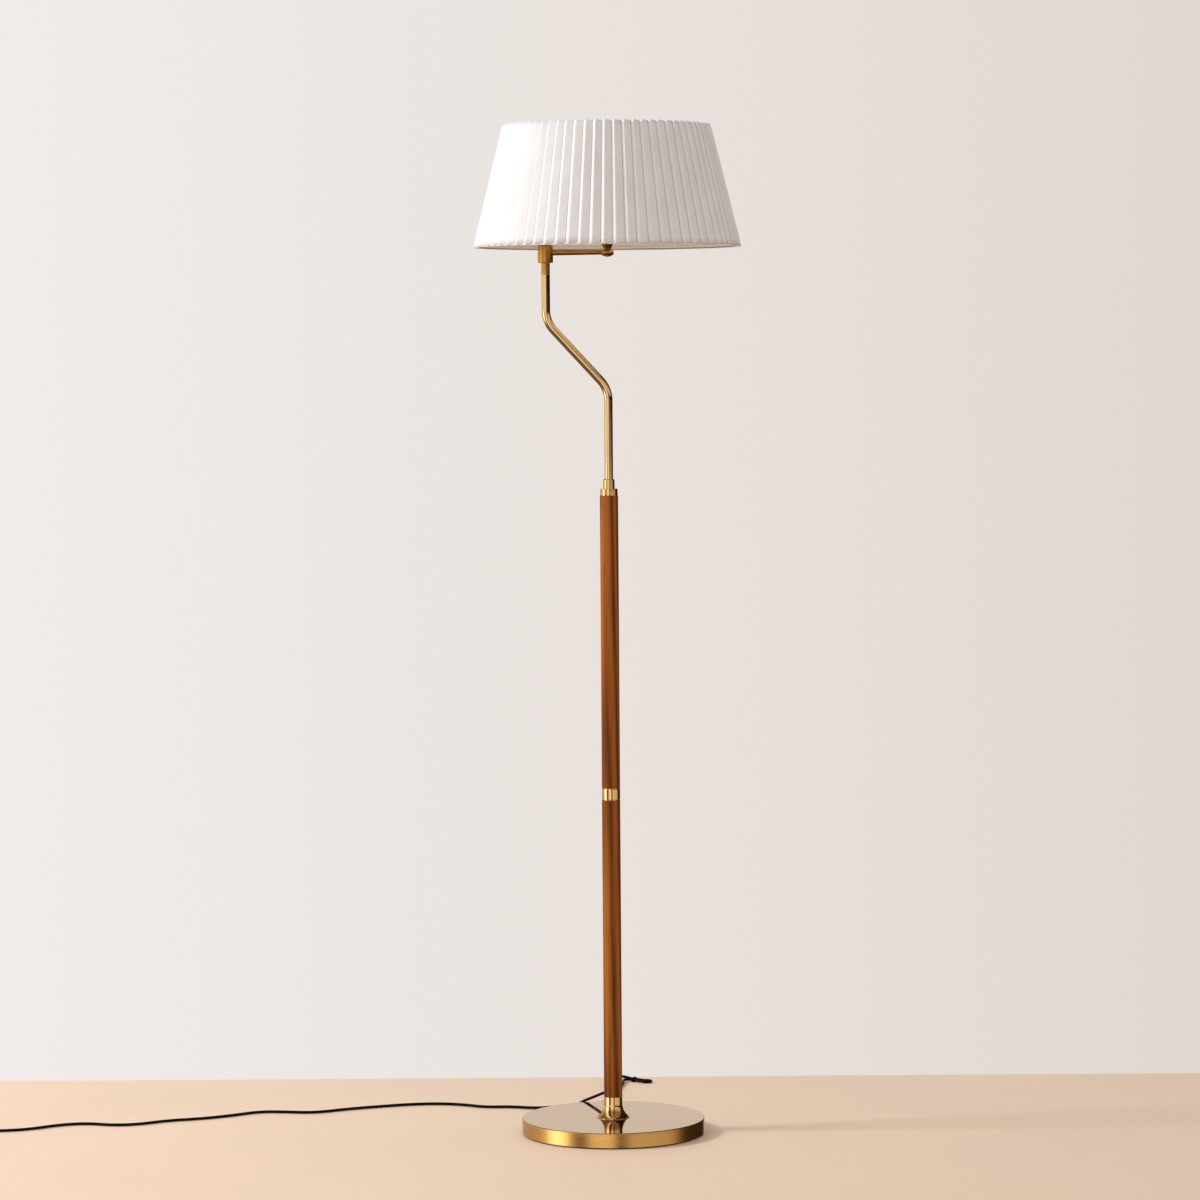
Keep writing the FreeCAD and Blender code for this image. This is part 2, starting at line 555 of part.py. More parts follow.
def make_tube():
    """Bent tube with two equal bends, drawn by its centreline and swept."""
    body = keep(DOC.addObject("PartDesign::Body", "bent_tube"), "bent_tube")
    path = new_sketch(body, "bent_tube_path", "XZ_Plane")
    corners = (("0", "0"), ("0", "tube_foot"), ("-tube_offset", "tube_foot + tube_rise"),
               ("-tube_offset", "tube_foot + tube_rise + tube_head"))
    points = [FreeCAD.Vector(number(across), number(up), 0) for across, up in corners]
    lean = math.atan2(number("tube_offset"), number("tube_rise"))
    reach = number("bend_radius") * math.tan(lean / 2)
    slant = (points[2] - points[1]).normalize()
    upward = FreeCAD.Vector(0, 1, 0)
    stations = (points[0], points[1] - upward * reach, points[1] + slant * reach,
                points[2] - slant * reach, points[2] + upward * reach, points[3])
    radius = number("bend_radius")
    foot = path.addGeometry(Part.LineSegment(stations[0], stations[1]))
    low_bend = path.addGeometry(arc_between(stations[1], stations[2], radius, 1))
    middle = path.addGeometry(Part.LineSegment(stations[2], stations[3]))
    high_bend = path.addGeometry(arc_between(stations[3], stations[4], radius, -1))
    head = path.addGeometry(Part.LineSegment(stations[4], stations[5]))
    path.addConstraint([
        Sketcher.Constraint("Coincident", foot, 1, -1, 1),
        Sketcher.Constraint("Vertical", foot),
        Sketcher.Constraint("Tangent", foot, 2, low_bend, 1),
        Sketcher.Constraint("Tangent", low_bend, 2, middle, 1),
        Sketcher.Constraint("Tangent", middle, 2, high_bend, 2),
        Sketcher.Constraint("Tangent", high_bend, 1, head, 1),
        Sketcher.Constraint("Vertical", head),
    ])
    lean_text = "atan(tube_offset / tube_rise) / 2"
    for item, vertex, kind, text in (
            (foot, 2, "DistanceY", f"tube_foot - bend_radius * tan({lean_text})"),
            (head, 2, "DistanceX", "-tube_offset"),
            (head, 2, "DistanceY", "tube_foot + tube_rise + tube_head"),
            (head, 1, "DistanceY", f"tube_foot + tube_rise + bend_radius * tan({lean_text})")):
        fix_distance(path, kind, item, vertex, text)
    bound = path.addConstraint(Sketcher.Constraint("Radius", low_bend, radius))
    bind(path, f"Constraints[{bound}]", "bend_radius")
    section = new_sketch(body, "bent_tube_section", "XY_Plane")
    for text in ("tube_radius", "tube_radius - tube_wall"):
        draw_circle(section, text)
    pipe = body.newObject("PartDesign::AdditivePipe", "bent_tube_pipe")
    pipe.Profile = section
    pipe.Spine = path
    place(body, z=TUBE_LOW)


def make_pivot():
    """Stem in the tube's end, slip washer, keeper nut, knuckle and its cap."""
    inside = "tube_radius - tube_wall - thread_gap"
    pin_top = "stem_spigot + stem_height + pin_length"
    turned("pivot_stem", (
        ("stem_bore", "0"), (inside, "0"), (inside, "stem_spigot"), ("tube_radius", "stem_spigot"),
        ("tube_radius", "stem_spigot + stem_height"), ("pin_radius", "stem_spigot + stem_height"),
        ("pin_radius", pin_top), ("stem_bore", pin_top)), x=PIVOT_X, z=f"{TUBE_TOP} - stem_spigot")
    turned("slip_washer", ring_outline("pin_radius + pin_gap", "tube_radius", "0", "slip_height - pin_gap"),
           x=PIVOT_X, z=STEM_TOP)
    bearing = "pin_radius + pin_gap"
    knuckle = turned("knuckle_body", (
        (bearing, "0"), ("knuckle_radius - knuckle_edge", "0"), ("knuckle_radius", "knuckle_edge"),
        ("knuckle_radius", "knuckle_height"), ("knuckle_cavity", "knuckle_height"),
        ("knuckle_cavity", "knuckle_floor"), (bearing, "knuckle_floor")), x=PIVOT_X, z=KNUCKLE_LOW)
    cross_hole(knuckle, "arm_hole", "YZ_Plane", "arm_root + thread_gap", "arm_level",
               "knuckle_radius * 2", True)
    thread = "pin_radius + thread_gap"
    keeper = turned("keeper_nut", ring_outline(thread, "keeper_radius", "0", "keeper_height"),
                    x=PIVOT_X, z=f"{KNUCKLE_LOW} + knuckle_floor + pin_gap")
    cross_hole(keeper, "spanner_hole", "XZ_Plane", "spanner_radius", "keeper_height / 2",
               "keeper_radius * 2", False)
    inside = "knuckle_cavity - thread_gap"
    dome = dome_radius("knuckle_radius", "knuckle_dome")
    turned("knuckle_cap", (
        ("0", "0"), (inside, "0"), (inside, "cap_plug"), ("knuckle_radius", "cap_plug"),
        ("knuckle_radius", "cap_plug + cap_edge", dome, 1), ("0", "cap_plug + cap_edge + knuckle_dome")),
        x=PIVOT_X, z=f"{KNUCKLE_LOW} + knuckle_height - cap_plug")


def make_arm():
    """Arm, hub, the hub's bottom screw and the hollow nipple."""
    start = "knuckle_cavity + arm_inset"
    length = f"arm_reach - ({start}) - rod_radius - thread_gap - arm_end_gap"
    turned("arm_tube", (
        ("arm_bore", "0"), ("arm_root", "0"), ("arm_root", "arm_seat"), ("arm_tip", f"{length} - arm_seat"),
        ("arm_tip", length), ("arm_bore", length)),
        x=f"{start} - tube_offset", z=ARM_AXIS, axis=(0, 1, 0), angle=90.0)
    bore = "rod_radius + thread_gap"
    hub = turned("arm_hub", (
        (bore, "0"), ("hub_face", "0", "hub_sweep", 1), ("hub_radius", "hub_low"),
        ("hub_radius", "hub_high", "hub_sweep", 1), ("hub_face", "hub_height"), (bore, "hub_height")),
        x=HEAD_X, z=HUB_LOW)
    cross_hole(hub, "hub_hole", "YZ_Plane", "arm_tip + thread_gap", "hub_level", "hub_radius * 2", False)
    dome_top = "plug_dome - plug_edge"
    shank_top = "plug_dome + plug_shank"
    turned("hub_screw", (
        ("0", "0", dome_radius("plug_face", dome_top), 1), ("plug_face", dome_top),
        ("plug_face", "plug_dome"), ("rod_radius", "plug_dome"), ("rod_radius", shank_top), ("0", shank_top)),
        x=HEAD_X, z=f"{HUB_LOW} - plug_dome")
    turned("head_nipple", ring_outline("nipple_bore", "rod_radius", "0", "nipple_length"),
           x=HEAD_X, z=f"{HUB_TOP} - nipple_inset")


def make_lampholder():
    """Cup, lampholder halves, contact block, screw shell, switch and bulb."""
    bore = "rod_radius + thread_gap"
    turned("lampholder_cup", (
        (bore, "0"), ("cup_foot", "0", "cup_sweep", -1), ("cup_mouth", "cup_height"),
        ("cup_mouth - cup_rim", "cup_height", "cup_inner_sweep", 1), ("cup_foot + cup_neck", "cup_floor"),
        (bore, "cup_floor")),
        x=HEAD_X, z=HUB_TOP)
    flange_low = "boss_height + holder_height - flange_height"
    floor = "boss_height + holder_floor"
    top = "boss_height + holder_height"
    base = turned("lampholder_base", (
        (bore, "0"), ("holder_boss", "0"), ("holder_boss", "boss_height"), ("holder_radius", "boss_height"),
        ("holder_radius", flange_low), ("holder_flange", flange_low), ("holder_flange", top),
        ("holder_cavity", top), ("holder_cavity", floor), (bore, floor)),
        x=HEAD_X, z=f"{HOLDER_LOW} - boss_height")
    cross_hole(base, "spindle_hole", "XZ_Plane", "spindle_radius + spindle_gap", "boss_height + switch_level",
               "holder_flange * 2", True)
    barrel = []
    for name, radius in (("barrel_stock", "barrel_radius"), ("barrel_bore", "spindle_radius + spindle_gap")):
        bar = DOC.addObject("Part::Cylinder", name)
        bind(bar, "Radius", radius)
        bind(bar, "Height", "holder_radius + barrel_length")
        place(bar, x=HEAD_X, z=f"{HOLDER_LOW} + switch_level", axis=(1, 0, 0), angle=90.0)
        barrel.append(bar)
    holder = DOC.addObject("Part::Cylinder", "barrel_seat")
    bind(holder, "Radius", "holder_radius")
    bind(holder, "Height", "holder_height")
    place(holder, x=HEAD_X, z=HOLDER_LOW)
    tools = DOC.addObject("Part::MultiFuse", "barrel_tools")
    tools.Shapes = [barrel[1], holder]
    cut = keep(DOC.addObject("Part::Cut", "switch_barrel"), "switch_barrel")
    cut.Base = barrel[0]
    cut.Tool = tools
    turned("switch_spindle", ring_outline("0", "spindle_radius", "0", "spindle_length"),
           x=HEAD_X, y="-(holder_cavity - spindle_inset)", z=f"{HOLDER_LOW} + switch_level", axis=(1, 0, 0),
           angle=90.0)
    knob_start = "holder_radius + barrel_length + knob_gap"
    spindle_end = "holder_cavity - spindle_inset + spindle_length"
    depth = f"{spindle_end} - ({knob_start})"
    turned("switch_knob", (
        ("spindle_radius", "0"), ("knob_radius", "0"), ("knob_radius", "knob_length - knob_edge"),
        ("knob_radius - knob_edge", "knob_length"), ("0", "knob_length"), ("0", depth),
        ("spindle_radius", depth)),
        x=HEAD_X, y=f"-({knob_start})", z=f"{HOLDER_LOW} + switch_level", axis=(1, 0, 0), angle=90.0)
    turned("contact_block", (
        ("0", "block_relief"), ("block_foot", "block_relief"), ("block_foot", "0"), ("block_radius", "0"),
        ("block_radius", "block_height"), ("0", "block_height")), x=HEAD_X, z=f"{HOLDER_LOW} + holder_floor")
    turned("lampholder_sleeve", ring_outline("sleeve_bore", "holder_radius", "0", "sleeve_height"),
           x=HEAD_X, z=FITTER_SEAT)
    turned("screw_shell", ring_outline("shell_radius - shell_wall", "shell_radius", "0", "shell_height"),
           x=HEAD_X, z=BLOCK_TOP)
    cap_low = f"{BLOCK_TOP} + bulb_seat"
    turned("bulb_cap", (
        ("0", "0"), ("contact_radius", "0"), ("bulb_cap - contact_bevel", "contact_height"),
        ("bulb_cap", "contact_height + contact_bevel"), ("bulb_cap", "bulb_cap_height"),
        ("0", "bulb_cap_height")), x=HEAD_X, z=cap_low)
    waist = "bulb_centre - bulb_radius / 2"
    inner = "(bulb_radius - bulb_wall)"
    shoulder = "bulb_neck + neck_flare"
    turned("bulb_glass", (
        ("bulb_neck - bulb_wall", "0"), ("bulb_neck", "0"), (shoulder, "neck_height"),
        ("bulb_radius * cos(30)", waist, "bulb_radius", 1), ("0", "bulb_centre + bulb_radius"),
        ("0", f"bulb_centre + {inner}", inner, -1), (f"{inner} * cos(30)", f"bulb_centre - {inner} / 2"),
        (f"{shoulder} - bulb_wall", "neck_height")), x=HEAD_X, z=f"{cap_low} + bulb_cap_height")


def cone_wall(outer_inset, wall):
    """Section of a shade wall that lies inside the shade's outer face by an inset."""
    low = f"shade_low - {outer_inset}"
    top = f"shade_top - {outer_inset}"
    return ((f"{low} - {wall}", "0"), (low, "0"), (top, "shade_height"), (f"{top} - {wall}", "shade_height"))


def make_shade():
    """Pleated cover, stiff liner, wire rings, binding tapes, fitter and its clamp ring."""
    turned("pleated_cover", cone_wall("0", "pleat_depth"), x=HEAD_X, z=SHADE_LOW)
    turned("shade_liner", cone_wall("(pleat_depth + liner_gap)", "liner_wall"), x=HEAD_X, z=SHADE_LOW)
    behind = f"pleat_depth + liner_gap + liner_wall + wire_gap + wire_radius / cos(atan({SLOPE}))"
    low_ring = f"shade_low - ({SLOPE}) * wire_inset - ({behind})"
    top_ring = f"shade_top + ({SLOPE}) * wire_inset - ({behind})"
    rings = {}
    for label, radius, level in (("bottom_ring", low_ring, f"{SHADE_LOW} + wire_inset"),
                                 ("top_ring", top_ring, f"{SHADE_LOW} + shade_height - wire_inset")):
        rings[label] = keep(DOC.addObject("Part::Torus", label), label)
        bind(rings[label], "Radius1", radius)
        bind(rings[label], "Radius2", "wire_radius")
        place(rings[label], x=HEAD_X, z=level)
    for label, edge, level in (("bottom_binding", "shade_low", f"{SHADE_LOW} - tape_height"),
                               ("top_binding", "shade_top", f"{SHADE_LOW} + shade_height")):
        turned(label, ring_outline(f"{edge} - tape_width", f"{edge} - tape_inset", "0", "tape_height"),
               x=HEAD_X, z=level)
    ring = DOC.addObject("Part::Cylinder", "fitter_disc")
    bind(ring, "Radius", "fitter_radius")
    bind(ring, "Height", "fitter_height")
    place(ring, x=HEAD_X, z=FITTER_SEAT)
    hole = DOC.addObject("Part::Cylinder", "fitter_hole")
    bind(hole, "Radius", "fitter_bore")
    bind(hole, "Height", "fitter_height * 3")
    place(hole, x=HEAD_X, z=f"{FITTER_SEAT} - fitter_height")
    run = f"{low_ring} - fitter_radius + fitter_wire"
    drop = "shade_drop + fitter_height / 2 - wire_inset"
    arms = []
    for angle in FITTER_ANGLES:
        arm = DOC.addObject("Part::Cylinder", f"fitter_arm_{angle:.0f}")
        bind(arm, "Radius", "fitter_wire")
        bind(arm, "Height", f"sqrt(({run})^2 + ({drop})^2)")
        way = math.radians(angle)
        place(arm, x=f"{HEAD_X} + (fitter_radius - fitter_wire) * cos({angle})",
              y=f"(fitter_radius - fitter_wire) * sin({angle})", z=f"{FITTER_SEAT} + fitter_height / 2",
              axis=(-math.sin(way), math.cos(way), 0), angle=90.0)
        bind(arm, "Placement.Rotation.Angle", f"90 deg + atan(({drop}) / ({run}))")
        arms.append(arm)
    whole = DOC.addObject("Part::MultiFuse", "fitter_whole")
    whole.Shapes = [ring, *arms]
    bored = DOC.addObject("Part::Cut", "fitter_bored")
    bored.Base = whole
    bored.Tool = hole
    fitter = keep(DOC.addObject("Part::Cut", "shade_fitter"), "shade_fitter")
    fitter.Base = bored
    fitter.Tool = rings["bottom_ring"]
    turned("clamp_ring", ring_outline("holder_radius + thread_gap", "clamp_radius", "0", "clamp_height"),
           x=HEAD_X, z=f"{FITTER_SEAT} + fitter_height")


def make_leads():
    """Lead inside the stand, from the bushing to the pivot, and inside the arm, up to the contact block."""
    radius = number("lead_radius")
    entry = number("disc_height + lead_height")
    turn = number("lead_bend")
    tube_low = number(TUBE_LOW)
    foot = number("tube_foot")
    rise = number("tube_rise")
    offset = number("tube_offset")
    top = number(f"{STEM_TOP} + pin_length")
    inner_end = number("rod_radius + rod_gap + bushing_room")
    start = FreeCAD.Vector(0, inner_end, entry)
    lean = math.atan2(offset, rise)
    reach = number("bend_radius") * math.tan(lean / 2)
    upward = FreeCAD.Vector(0, 0, 1)
    low = FreeCAD.Vector(0, 0, tube_low + foot)
    high = FreeCAD.Vector(-offset, 0, tube_low + foot + rise)
    slant = (high - low).normalize()
    corner = FreeCAD.Vector(0, 0, entry)
    stations = [start, corner + FreeCAD.Vector(0, turn, 0), corner + upward * turn,
                low - upward * reach, low + slant * reach, high - slant * reach, high + upward * reach,
                FreeCAD.Vector(-offset, 0, top)]
    edges = [Part.LineSegment(stations[0], stations[1]).toShape(),
             round_corner(corner, stations[1], stations[2]),
             Part.LineSegment(stations[2], stations[3]).toShape(),
             round_corner(low, stations[3], stations[4]),
             Part.LineSegment(stations[4], stations[5]).toShape(),
             round_corner(high, stations[5], stations[6]),
             Part.LineSegment(stations[6], stations[7]).toShape()]
    feature("stand_lead", bar_along(edges, radius))
    axis = number(ARM_AXIS)
    head = number(HEAD_X)
    bend = number("head_bend")
    start = FreeCAD.Vector(-offset, 0, top + number("lead_joint"))
    first = FreeCAD.Vector(-offset, 0, axis)
    last = FreeCAD.Vector(head, 0, axis)
    along = FreeCAD.Vector(1, 0, 0)
    end = number(f"{HOLDER_LOW} + holder_floor + block_relief")
    stations = [start, first - upward * bend, first + along * bend, last - along * bend,
                last + upward * bend, FreeCAD.Vector(head, 0, end)]
    edges = [Part.LineSegment(stations[0], stations[1]).toShape(),
             round_corner(first, stations[1], stations[2]),
             Part.LineSegment(stations[2], stations[3]).toShape(),
             round_corner(last, stations[3], stations[4]),
             Part.LineSegment(stations[4], stations[5]).toShape()]
    feature("arm_lead", bar_along(edges, radius))


def round_corner(corner, enter, leave):
    """Arc tangent to both sides of a corner, between two points equally far from it."""
    back = enter - corner
    onward = leave - corner
    reach = back.Length
    half_turn = (math.pi - back.getAngle(onward)) / 2
    radius = reach / math.tan(half_turn)
    inward = (back + onward).normalize()
    middle = corner + inward * (radius / math.cos(half_turn) - radius)
    return Part.Arc(enter, middle, leave).toShape()


def bar_along(edges, radius):
    """Round bar along a row of edges."""
    first = edges[0]
    start = first.Vertexes[0].Point
    circle = Part.Circle(start, first.Vertexes[1].Point - start, radius)
    return Part.Wire(edges).makePipeShell([Part.Wire(circle.toShape())], True, False)


def make_cord():
    """Bushing, free cord, tie, coil and plug."""
    outer_face = "column_radius + bushing_seat"
    inner_face = "rod_radius + rod_gap + bushing_room"
    stem = f"{outer_face} - ({inner_face})"
    turned("cord_bushing", (
        ("0", "0"), ("bushing_radius", "0"), ("bushing_radius", stem), ("bushing_head", stem),
        ("bushing_tip", f"{stem} + bushing_length"), ("0", f"{stem} + bushing_length")),
        y=inner_face, z="disc_height + lead_height", axis=(1, 0, 0), angle=-90.0)
    radius = number("cord_radius")
    route = [(0.0, number(f"{outer_face} + bushing_length"), number("disc_height + lead_height"))]
    route.extend(CORD_ROUTE[1:])
    bar, length, radii = swept(route, radius)
    print(f"cord {length:.0f} mm, bend radii:", " ".join(f"{value:.1f}" for value in radii))
    feature("cord", bar)
    make_tie(radius)
    span = "cord_radius + coil_room"
    coil = turned("cord_coil", ring_outline(f"coil_inner - ({span})", f"coil_outer + {span}", "coil_lift",
                                            "cord_radius * 2 * coil_layers + coil_room"))
    coil.Placement.Base = FreeCAD.Vector(*COIL_CENTRE, 0)
    make_plug()


def make_tie(cord_radius):
    """Flat tie wound round both strands of the fold."""
    gap = number("tie_gap")
    wall = number("tie_wall")
    width = number("tie_width")
    inner = cord_radius + gap

    def stadium(radius):
        half = TIE_SPREAD / 2
        box = Part.makeBox(width, TIE_SPREAD, radius * 2, FreeCAD.Vector(-width / 2, -half, -radius))
        ends = [Part.makeCylinder(radius, width, FreeCAD.Vector(-width / 2, side, 0), FreeCAD.Vector(1, 0, 0))
                for side in (-half, half)]
        return box.fuse(ends).removeSplitter()

    tie = stadium(inner + wall).cut(stadium(inner))
    item = feature("cord_tie", tie)
    turn = FreeCAD.Rotation(FreeCAD.Vector(0, 0, 1), TIE_TURN)
    item.Placement = FreeCAD.Placement(FreeCAD.Vector(*TIE_PLACE), turn)


def make_plug():
    """Flat two-pin plug with its tapered relief, lying on the floor beside the coil."""
    level = number("plug_height") / 2
    relief = number("relief_length")
    body_length = number("plug_length")
    taper = number("plug_taper")
    back = number("plug_rear") / 2
    front = number("plug_width") / 2
    forward = FreeCAD.Vector(0, 1, 0)
    corners = [FreeCAD.Vector(-back, 0, 0), FreeCAD.Vector(back, 0, 0), FreeCAD.Vector(front, taper, 0),
               FreeCAD.Vector(front, body_length, 0), FreeCAD.Vector(-front, body_length, 0),
               FreeCAD.Vector(-front, taper, 0)]
    face = Part.Face(Part.makePolygon([*corners, corners[0]]))
    block = face.extrude(FreeCAD.Vector(0, 0, level * 2))
    block.translate(FreeCAD.Vector(0, 0, -level))
    sides = [item for item in block.Edges if abs(abs(item.CenterOfMass.z) - level) < PLACE_TOLERANCE]
    block = block.makeFillet(number("plug_round"), sides)
    cone = Part.makeCone(number("relief_tip"), number("relief_radius"), relief,
                         FreeCAD.Vector(0, -relief, 0), forward)
    shell = block.fuse(cone).removeSplitter()
    spacing = number("prong_spacing") / 2
    root = number("prong_root")
    radius = number("prong_radius")
    core = number("prong_core")
    sleeve = number("prong_sleeve")
    length = number("prong_length")
    pins = []
    for side in (-spacing, spacing):
        start = FreeCAD.Vector(side, body_length - root, 0)
        mouth = FreeCAD.Vector(side, body_length, 0)
        stem = Part.makeCylinder(core, root + sleeve, start, forward)
        shell = shell.fuse(Part.makeCylinder(radius, sleeve, mouth, forward)).cut(stem)
        prong = Part.makeCylinder(radius, length - sleeve, mouth + forward * sleeve, forward)
        end = body_length + length - PLACE_TOLERANCE
        tip = [item for item in prong.Edges if item.BoundBox.YMin > end]
        pins.append(stem.fuse(prong.makeChamfer(number("prong_tip"), tip)))
    turn = FreeCAD.Rotation(FreeCAD.Vector(0, 0, 1), 180)
    where = FreeCAD.Placement(FreeCAD.Vector(PLUG_START[0], PLUG_START[1] - relief, level), turn)
    feature("plug_body", shell).Placement = where
    feature("plug_pins", Part.makeCompound(pins)).Placement = where


def check_and_export():
    """Refuse a failed object, then write each piece to its file."""
    DOC.recompute()
    for item in DOC.Objects:
        if {"Invalid", "Error"} & set(item.State):
            raise RuntimeError(f"{item.Label}: {item.State}")
    for item in NODES:
        if item.Shape.isNull() or not item.Shape.isValid() or not item.Shape.Solids:
            raise RuntimeError(f"{item.Label} has no valid solid")
    os.makedirs("parts", exist_ok=True)
    for item in NODES:
        item.Shape.exportStep(f"parts/{item.Label}.step")
    print(f"{len(NODES)} pieces")


def main():
    """Build the whole lamp."""
    fill_sheet()
    make_foot()
    make_column()
    make_tube()
    make_pivot()
    make_arm()
    make_lampholder()
    make_shade()
    make_leads()
    make_cord()
    check_and_export()


main()
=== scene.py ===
# Bridge floor lamp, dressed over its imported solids. Sizes are in millimetres until a mesh is made, and in
# metres from there on, in the frame of the solids: +Z up the column, the arm runs towards +X, and -Y faces
# the viewer.

import json
import logging
import math
from collections.abc import Iterable, Sequence
from dataclasses import asdict, dataclass, field, replace
from enum import Enum

import bmesh
import bpy
from mathutils import Matrix, Vector

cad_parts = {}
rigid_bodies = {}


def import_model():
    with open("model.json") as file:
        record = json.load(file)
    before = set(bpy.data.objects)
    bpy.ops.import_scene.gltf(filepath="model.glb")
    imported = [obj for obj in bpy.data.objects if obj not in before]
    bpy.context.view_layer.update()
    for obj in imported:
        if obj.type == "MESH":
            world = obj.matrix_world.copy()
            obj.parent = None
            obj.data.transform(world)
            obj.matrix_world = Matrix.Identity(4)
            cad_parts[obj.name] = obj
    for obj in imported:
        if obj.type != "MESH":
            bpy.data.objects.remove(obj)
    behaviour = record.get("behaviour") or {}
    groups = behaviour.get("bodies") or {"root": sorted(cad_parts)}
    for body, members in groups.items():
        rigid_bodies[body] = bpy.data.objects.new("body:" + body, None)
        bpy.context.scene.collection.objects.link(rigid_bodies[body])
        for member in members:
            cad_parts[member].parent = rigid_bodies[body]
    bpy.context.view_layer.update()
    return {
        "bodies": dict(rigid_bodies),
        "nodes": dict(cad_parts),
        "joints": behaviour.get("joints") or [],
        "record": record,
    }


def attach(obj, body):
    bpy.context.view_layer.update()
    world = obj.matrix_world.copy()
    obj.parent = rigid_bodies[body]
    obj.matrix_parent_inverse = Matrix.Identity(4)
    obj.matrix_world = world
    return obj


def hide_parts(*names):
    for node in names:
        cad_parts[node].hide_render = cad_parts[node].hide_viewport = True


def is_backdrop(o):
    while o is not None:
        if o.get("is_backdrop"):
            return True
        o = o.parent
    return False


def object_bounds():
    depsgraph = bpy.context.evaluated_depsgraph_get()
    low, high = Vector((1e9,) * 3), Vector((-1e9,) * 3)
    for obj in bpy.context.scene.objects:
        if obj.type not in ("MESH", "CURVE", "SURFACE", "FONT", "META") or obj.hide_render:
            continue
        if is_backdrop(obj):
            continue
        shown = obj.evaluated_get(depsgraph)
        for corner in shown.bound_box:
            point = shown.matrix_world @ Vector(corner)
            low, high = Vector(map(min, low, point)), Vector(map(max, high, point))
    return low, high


LOG = logging.getLogger("bridge_floor_lamp")
MM = 0.001
FULL_TURN = 2 * math.pi
PICTURE = 1200
NOISE = "ShaderNodeTexNoise"
NOISE_SPAN = (0.3, 0.7)
CRISP_DEG = 32.0
BEVEL_DEG = 40.0

Point = tuple[float, float, float]
Outline = Sequence[tuple[float, float]]
Profile = tuple[tuple[float, float], ...]
Piece = bpy.types.Object
Socket = bpy.types.NodeSocket
Sockets = dict[str, Socket]
Value = Socket | float | tuple[float, ...] | None


class Body(Enum):
    """The bodies that a piece can ride on."""

    STAND = "stand"
    ARM = "arm"
    SWITCH = "switch"


class Axis(Enum):
    """The way a turned piece's own axis points, as its turn from upright."""

    UP = 0.0
    FRONT = math.pi / 2
    BACK = -math.pi / 2

    def turn(self) -> Matrix:
        """Return the turn from an upright axis to this one."""
        return Matrix.Rotation(self.value, 4, "X")


class Unit(Enum):
    """The small parts that a row or ring repeats: each one's node and its inputs."""

    BEAD = ("GeometryNodeMeshIcoSphere", 1.0, 2)
    ROD = ("GeometryNodeMeshCylinder", 8, 1, 1, 1.0, 2.0)


# ----------------------------------------------------------------------------------------------------------
# Node trees
# ----------------------------------------------------------------------------------------------------------


@dataclass
class NodeGraph:
    """A node tree that is being filled."""

    tree: bpy.types.NodeTree

    def add(self, kind: str, *values: Value, at: dict | None = None, out: int | str = 0,
            **settings: object) -> Socket | None:
        """Add one node, set its properties, and fill or link its inputs.

        Args:
            kind: The node's type.
            values: What goes into inputs 0, 1, 2 and on; None leaves an input alone, and a socket is linked.
            at: More inputs, by name or number.
            out: The output that is handed back.
            settings: The node's own properties.

        Returns:
            The chosen output socket, or None where the node has no output.
        """
        node = self.tree.nodes.new(kind)
        for name, value in settings.items():
            setattr(node, name, value)
        wanted = {i: v for i, v in enumerate(values) if v is not None} | (at or {})
        for key, value in wanted.items():
            if isinstance(value, Socket):
                self.tree.links.new(value, node.inputs[key])
            else:
                node.inputs[key].default_value = value
        return node.outputs[out] if len(node.outputs) else None

    def math(self, operation: str, *values: Value) -> Socket:
        """Add a Math node."""
        return self.add("ShaderNodeMath", *values, operation=operation)

    def vector(self, operation: str, *values: Value, out: int | str = 0) -> Socket:
        """Add a Vector Math node."""
        return self.add("ShaderNodeVectorMath", *values, out=out, operation=operation)

    def span(self, *values: Value) -> Socket:
        """Map a value from a range to another: the value, then both ranges' ends."""
        return self.add("ShaderNodeMapRange", *values)

    def mix(self, share: Value, first: Value, second: Value) -> Socket:
        """Mix two numbers, which are the Mix node's inputs 2 and 3."""
        return self.add("ShaderNodeMix", share, at={2: first, 3: second}, data_type="FLOAT")

    def blend(self, share: Value, first: Value, second: Value, **settings: object) -> Socket:
        """Mix two colours, which are the Mix node's inputs 6 and 7 and its output 2."""
        return self.add("ShaderNodeMix", share, at={6: first, 7: second}, out=2, data_type="RGBA", **settings)

    def noise(self, place: Socket, size_mm: float, detail: float = 2.0, **more: float) -> Socket:
        """Add a noise whose patches are about this large."""
        return self.add(NOISE, place, at={"Scale": 1 / (size_mm * MM), "Detail": detail} | more)

    def bump(self, height: Socket, lift_mm: float, strength: float = 1.0) -> Socket:
        """Lift a surface by a pattern."""
        return self.add("ShaderNodeBump",
                        at={"Height": height, "Distance": lift_mm * MM, "Strength": strength})

    def position(self) -> bpy.types.bpy_prop_collection:
        """Return the three numbers of each point's place."""
        return self.add("ShaderNodeSeparateXYZ", self.add("GeometryNodeInputPosition")).node.outputs

    def around(self, angle: Socket, radius: Value, level: Value) -> Socket:
        """Return the place at an angle, a radius and a level round the upright axis.

        Args:
            angle: The angle from +X towards +Y.
            radius: The distance from the axis, where None stands for 1.
            level: The height.

        Returns:
            The place.
        """
        across, along = self.math("COSINE", angle), self.math("SINE", angle)
        if radius is not None:
            across, along = (self.math("MULTIPLY", way, radius) for way in (across, along))
        return self.add("ShaderNodeCombineXYZ", across, along, level)


def linear(code: str) -> tuple[float, float, float, float]:
    """Turn an sRGB hex value into linear red, green, blue and alpha.

    Args:
        code: Six hex digits after a hash sign.

    Returns:
        Four numbers from 0 to 1.
    """
    parts = [int(code[i : i + 2], 16) / 255 for i in (1, 3, 5)]
    red, green, blue = (c / 12.92 if c <= 0.04045 else ((c + 0.055) / 1.055) ** 2.4 for c in parts)
    return red, green, blue, 1.0


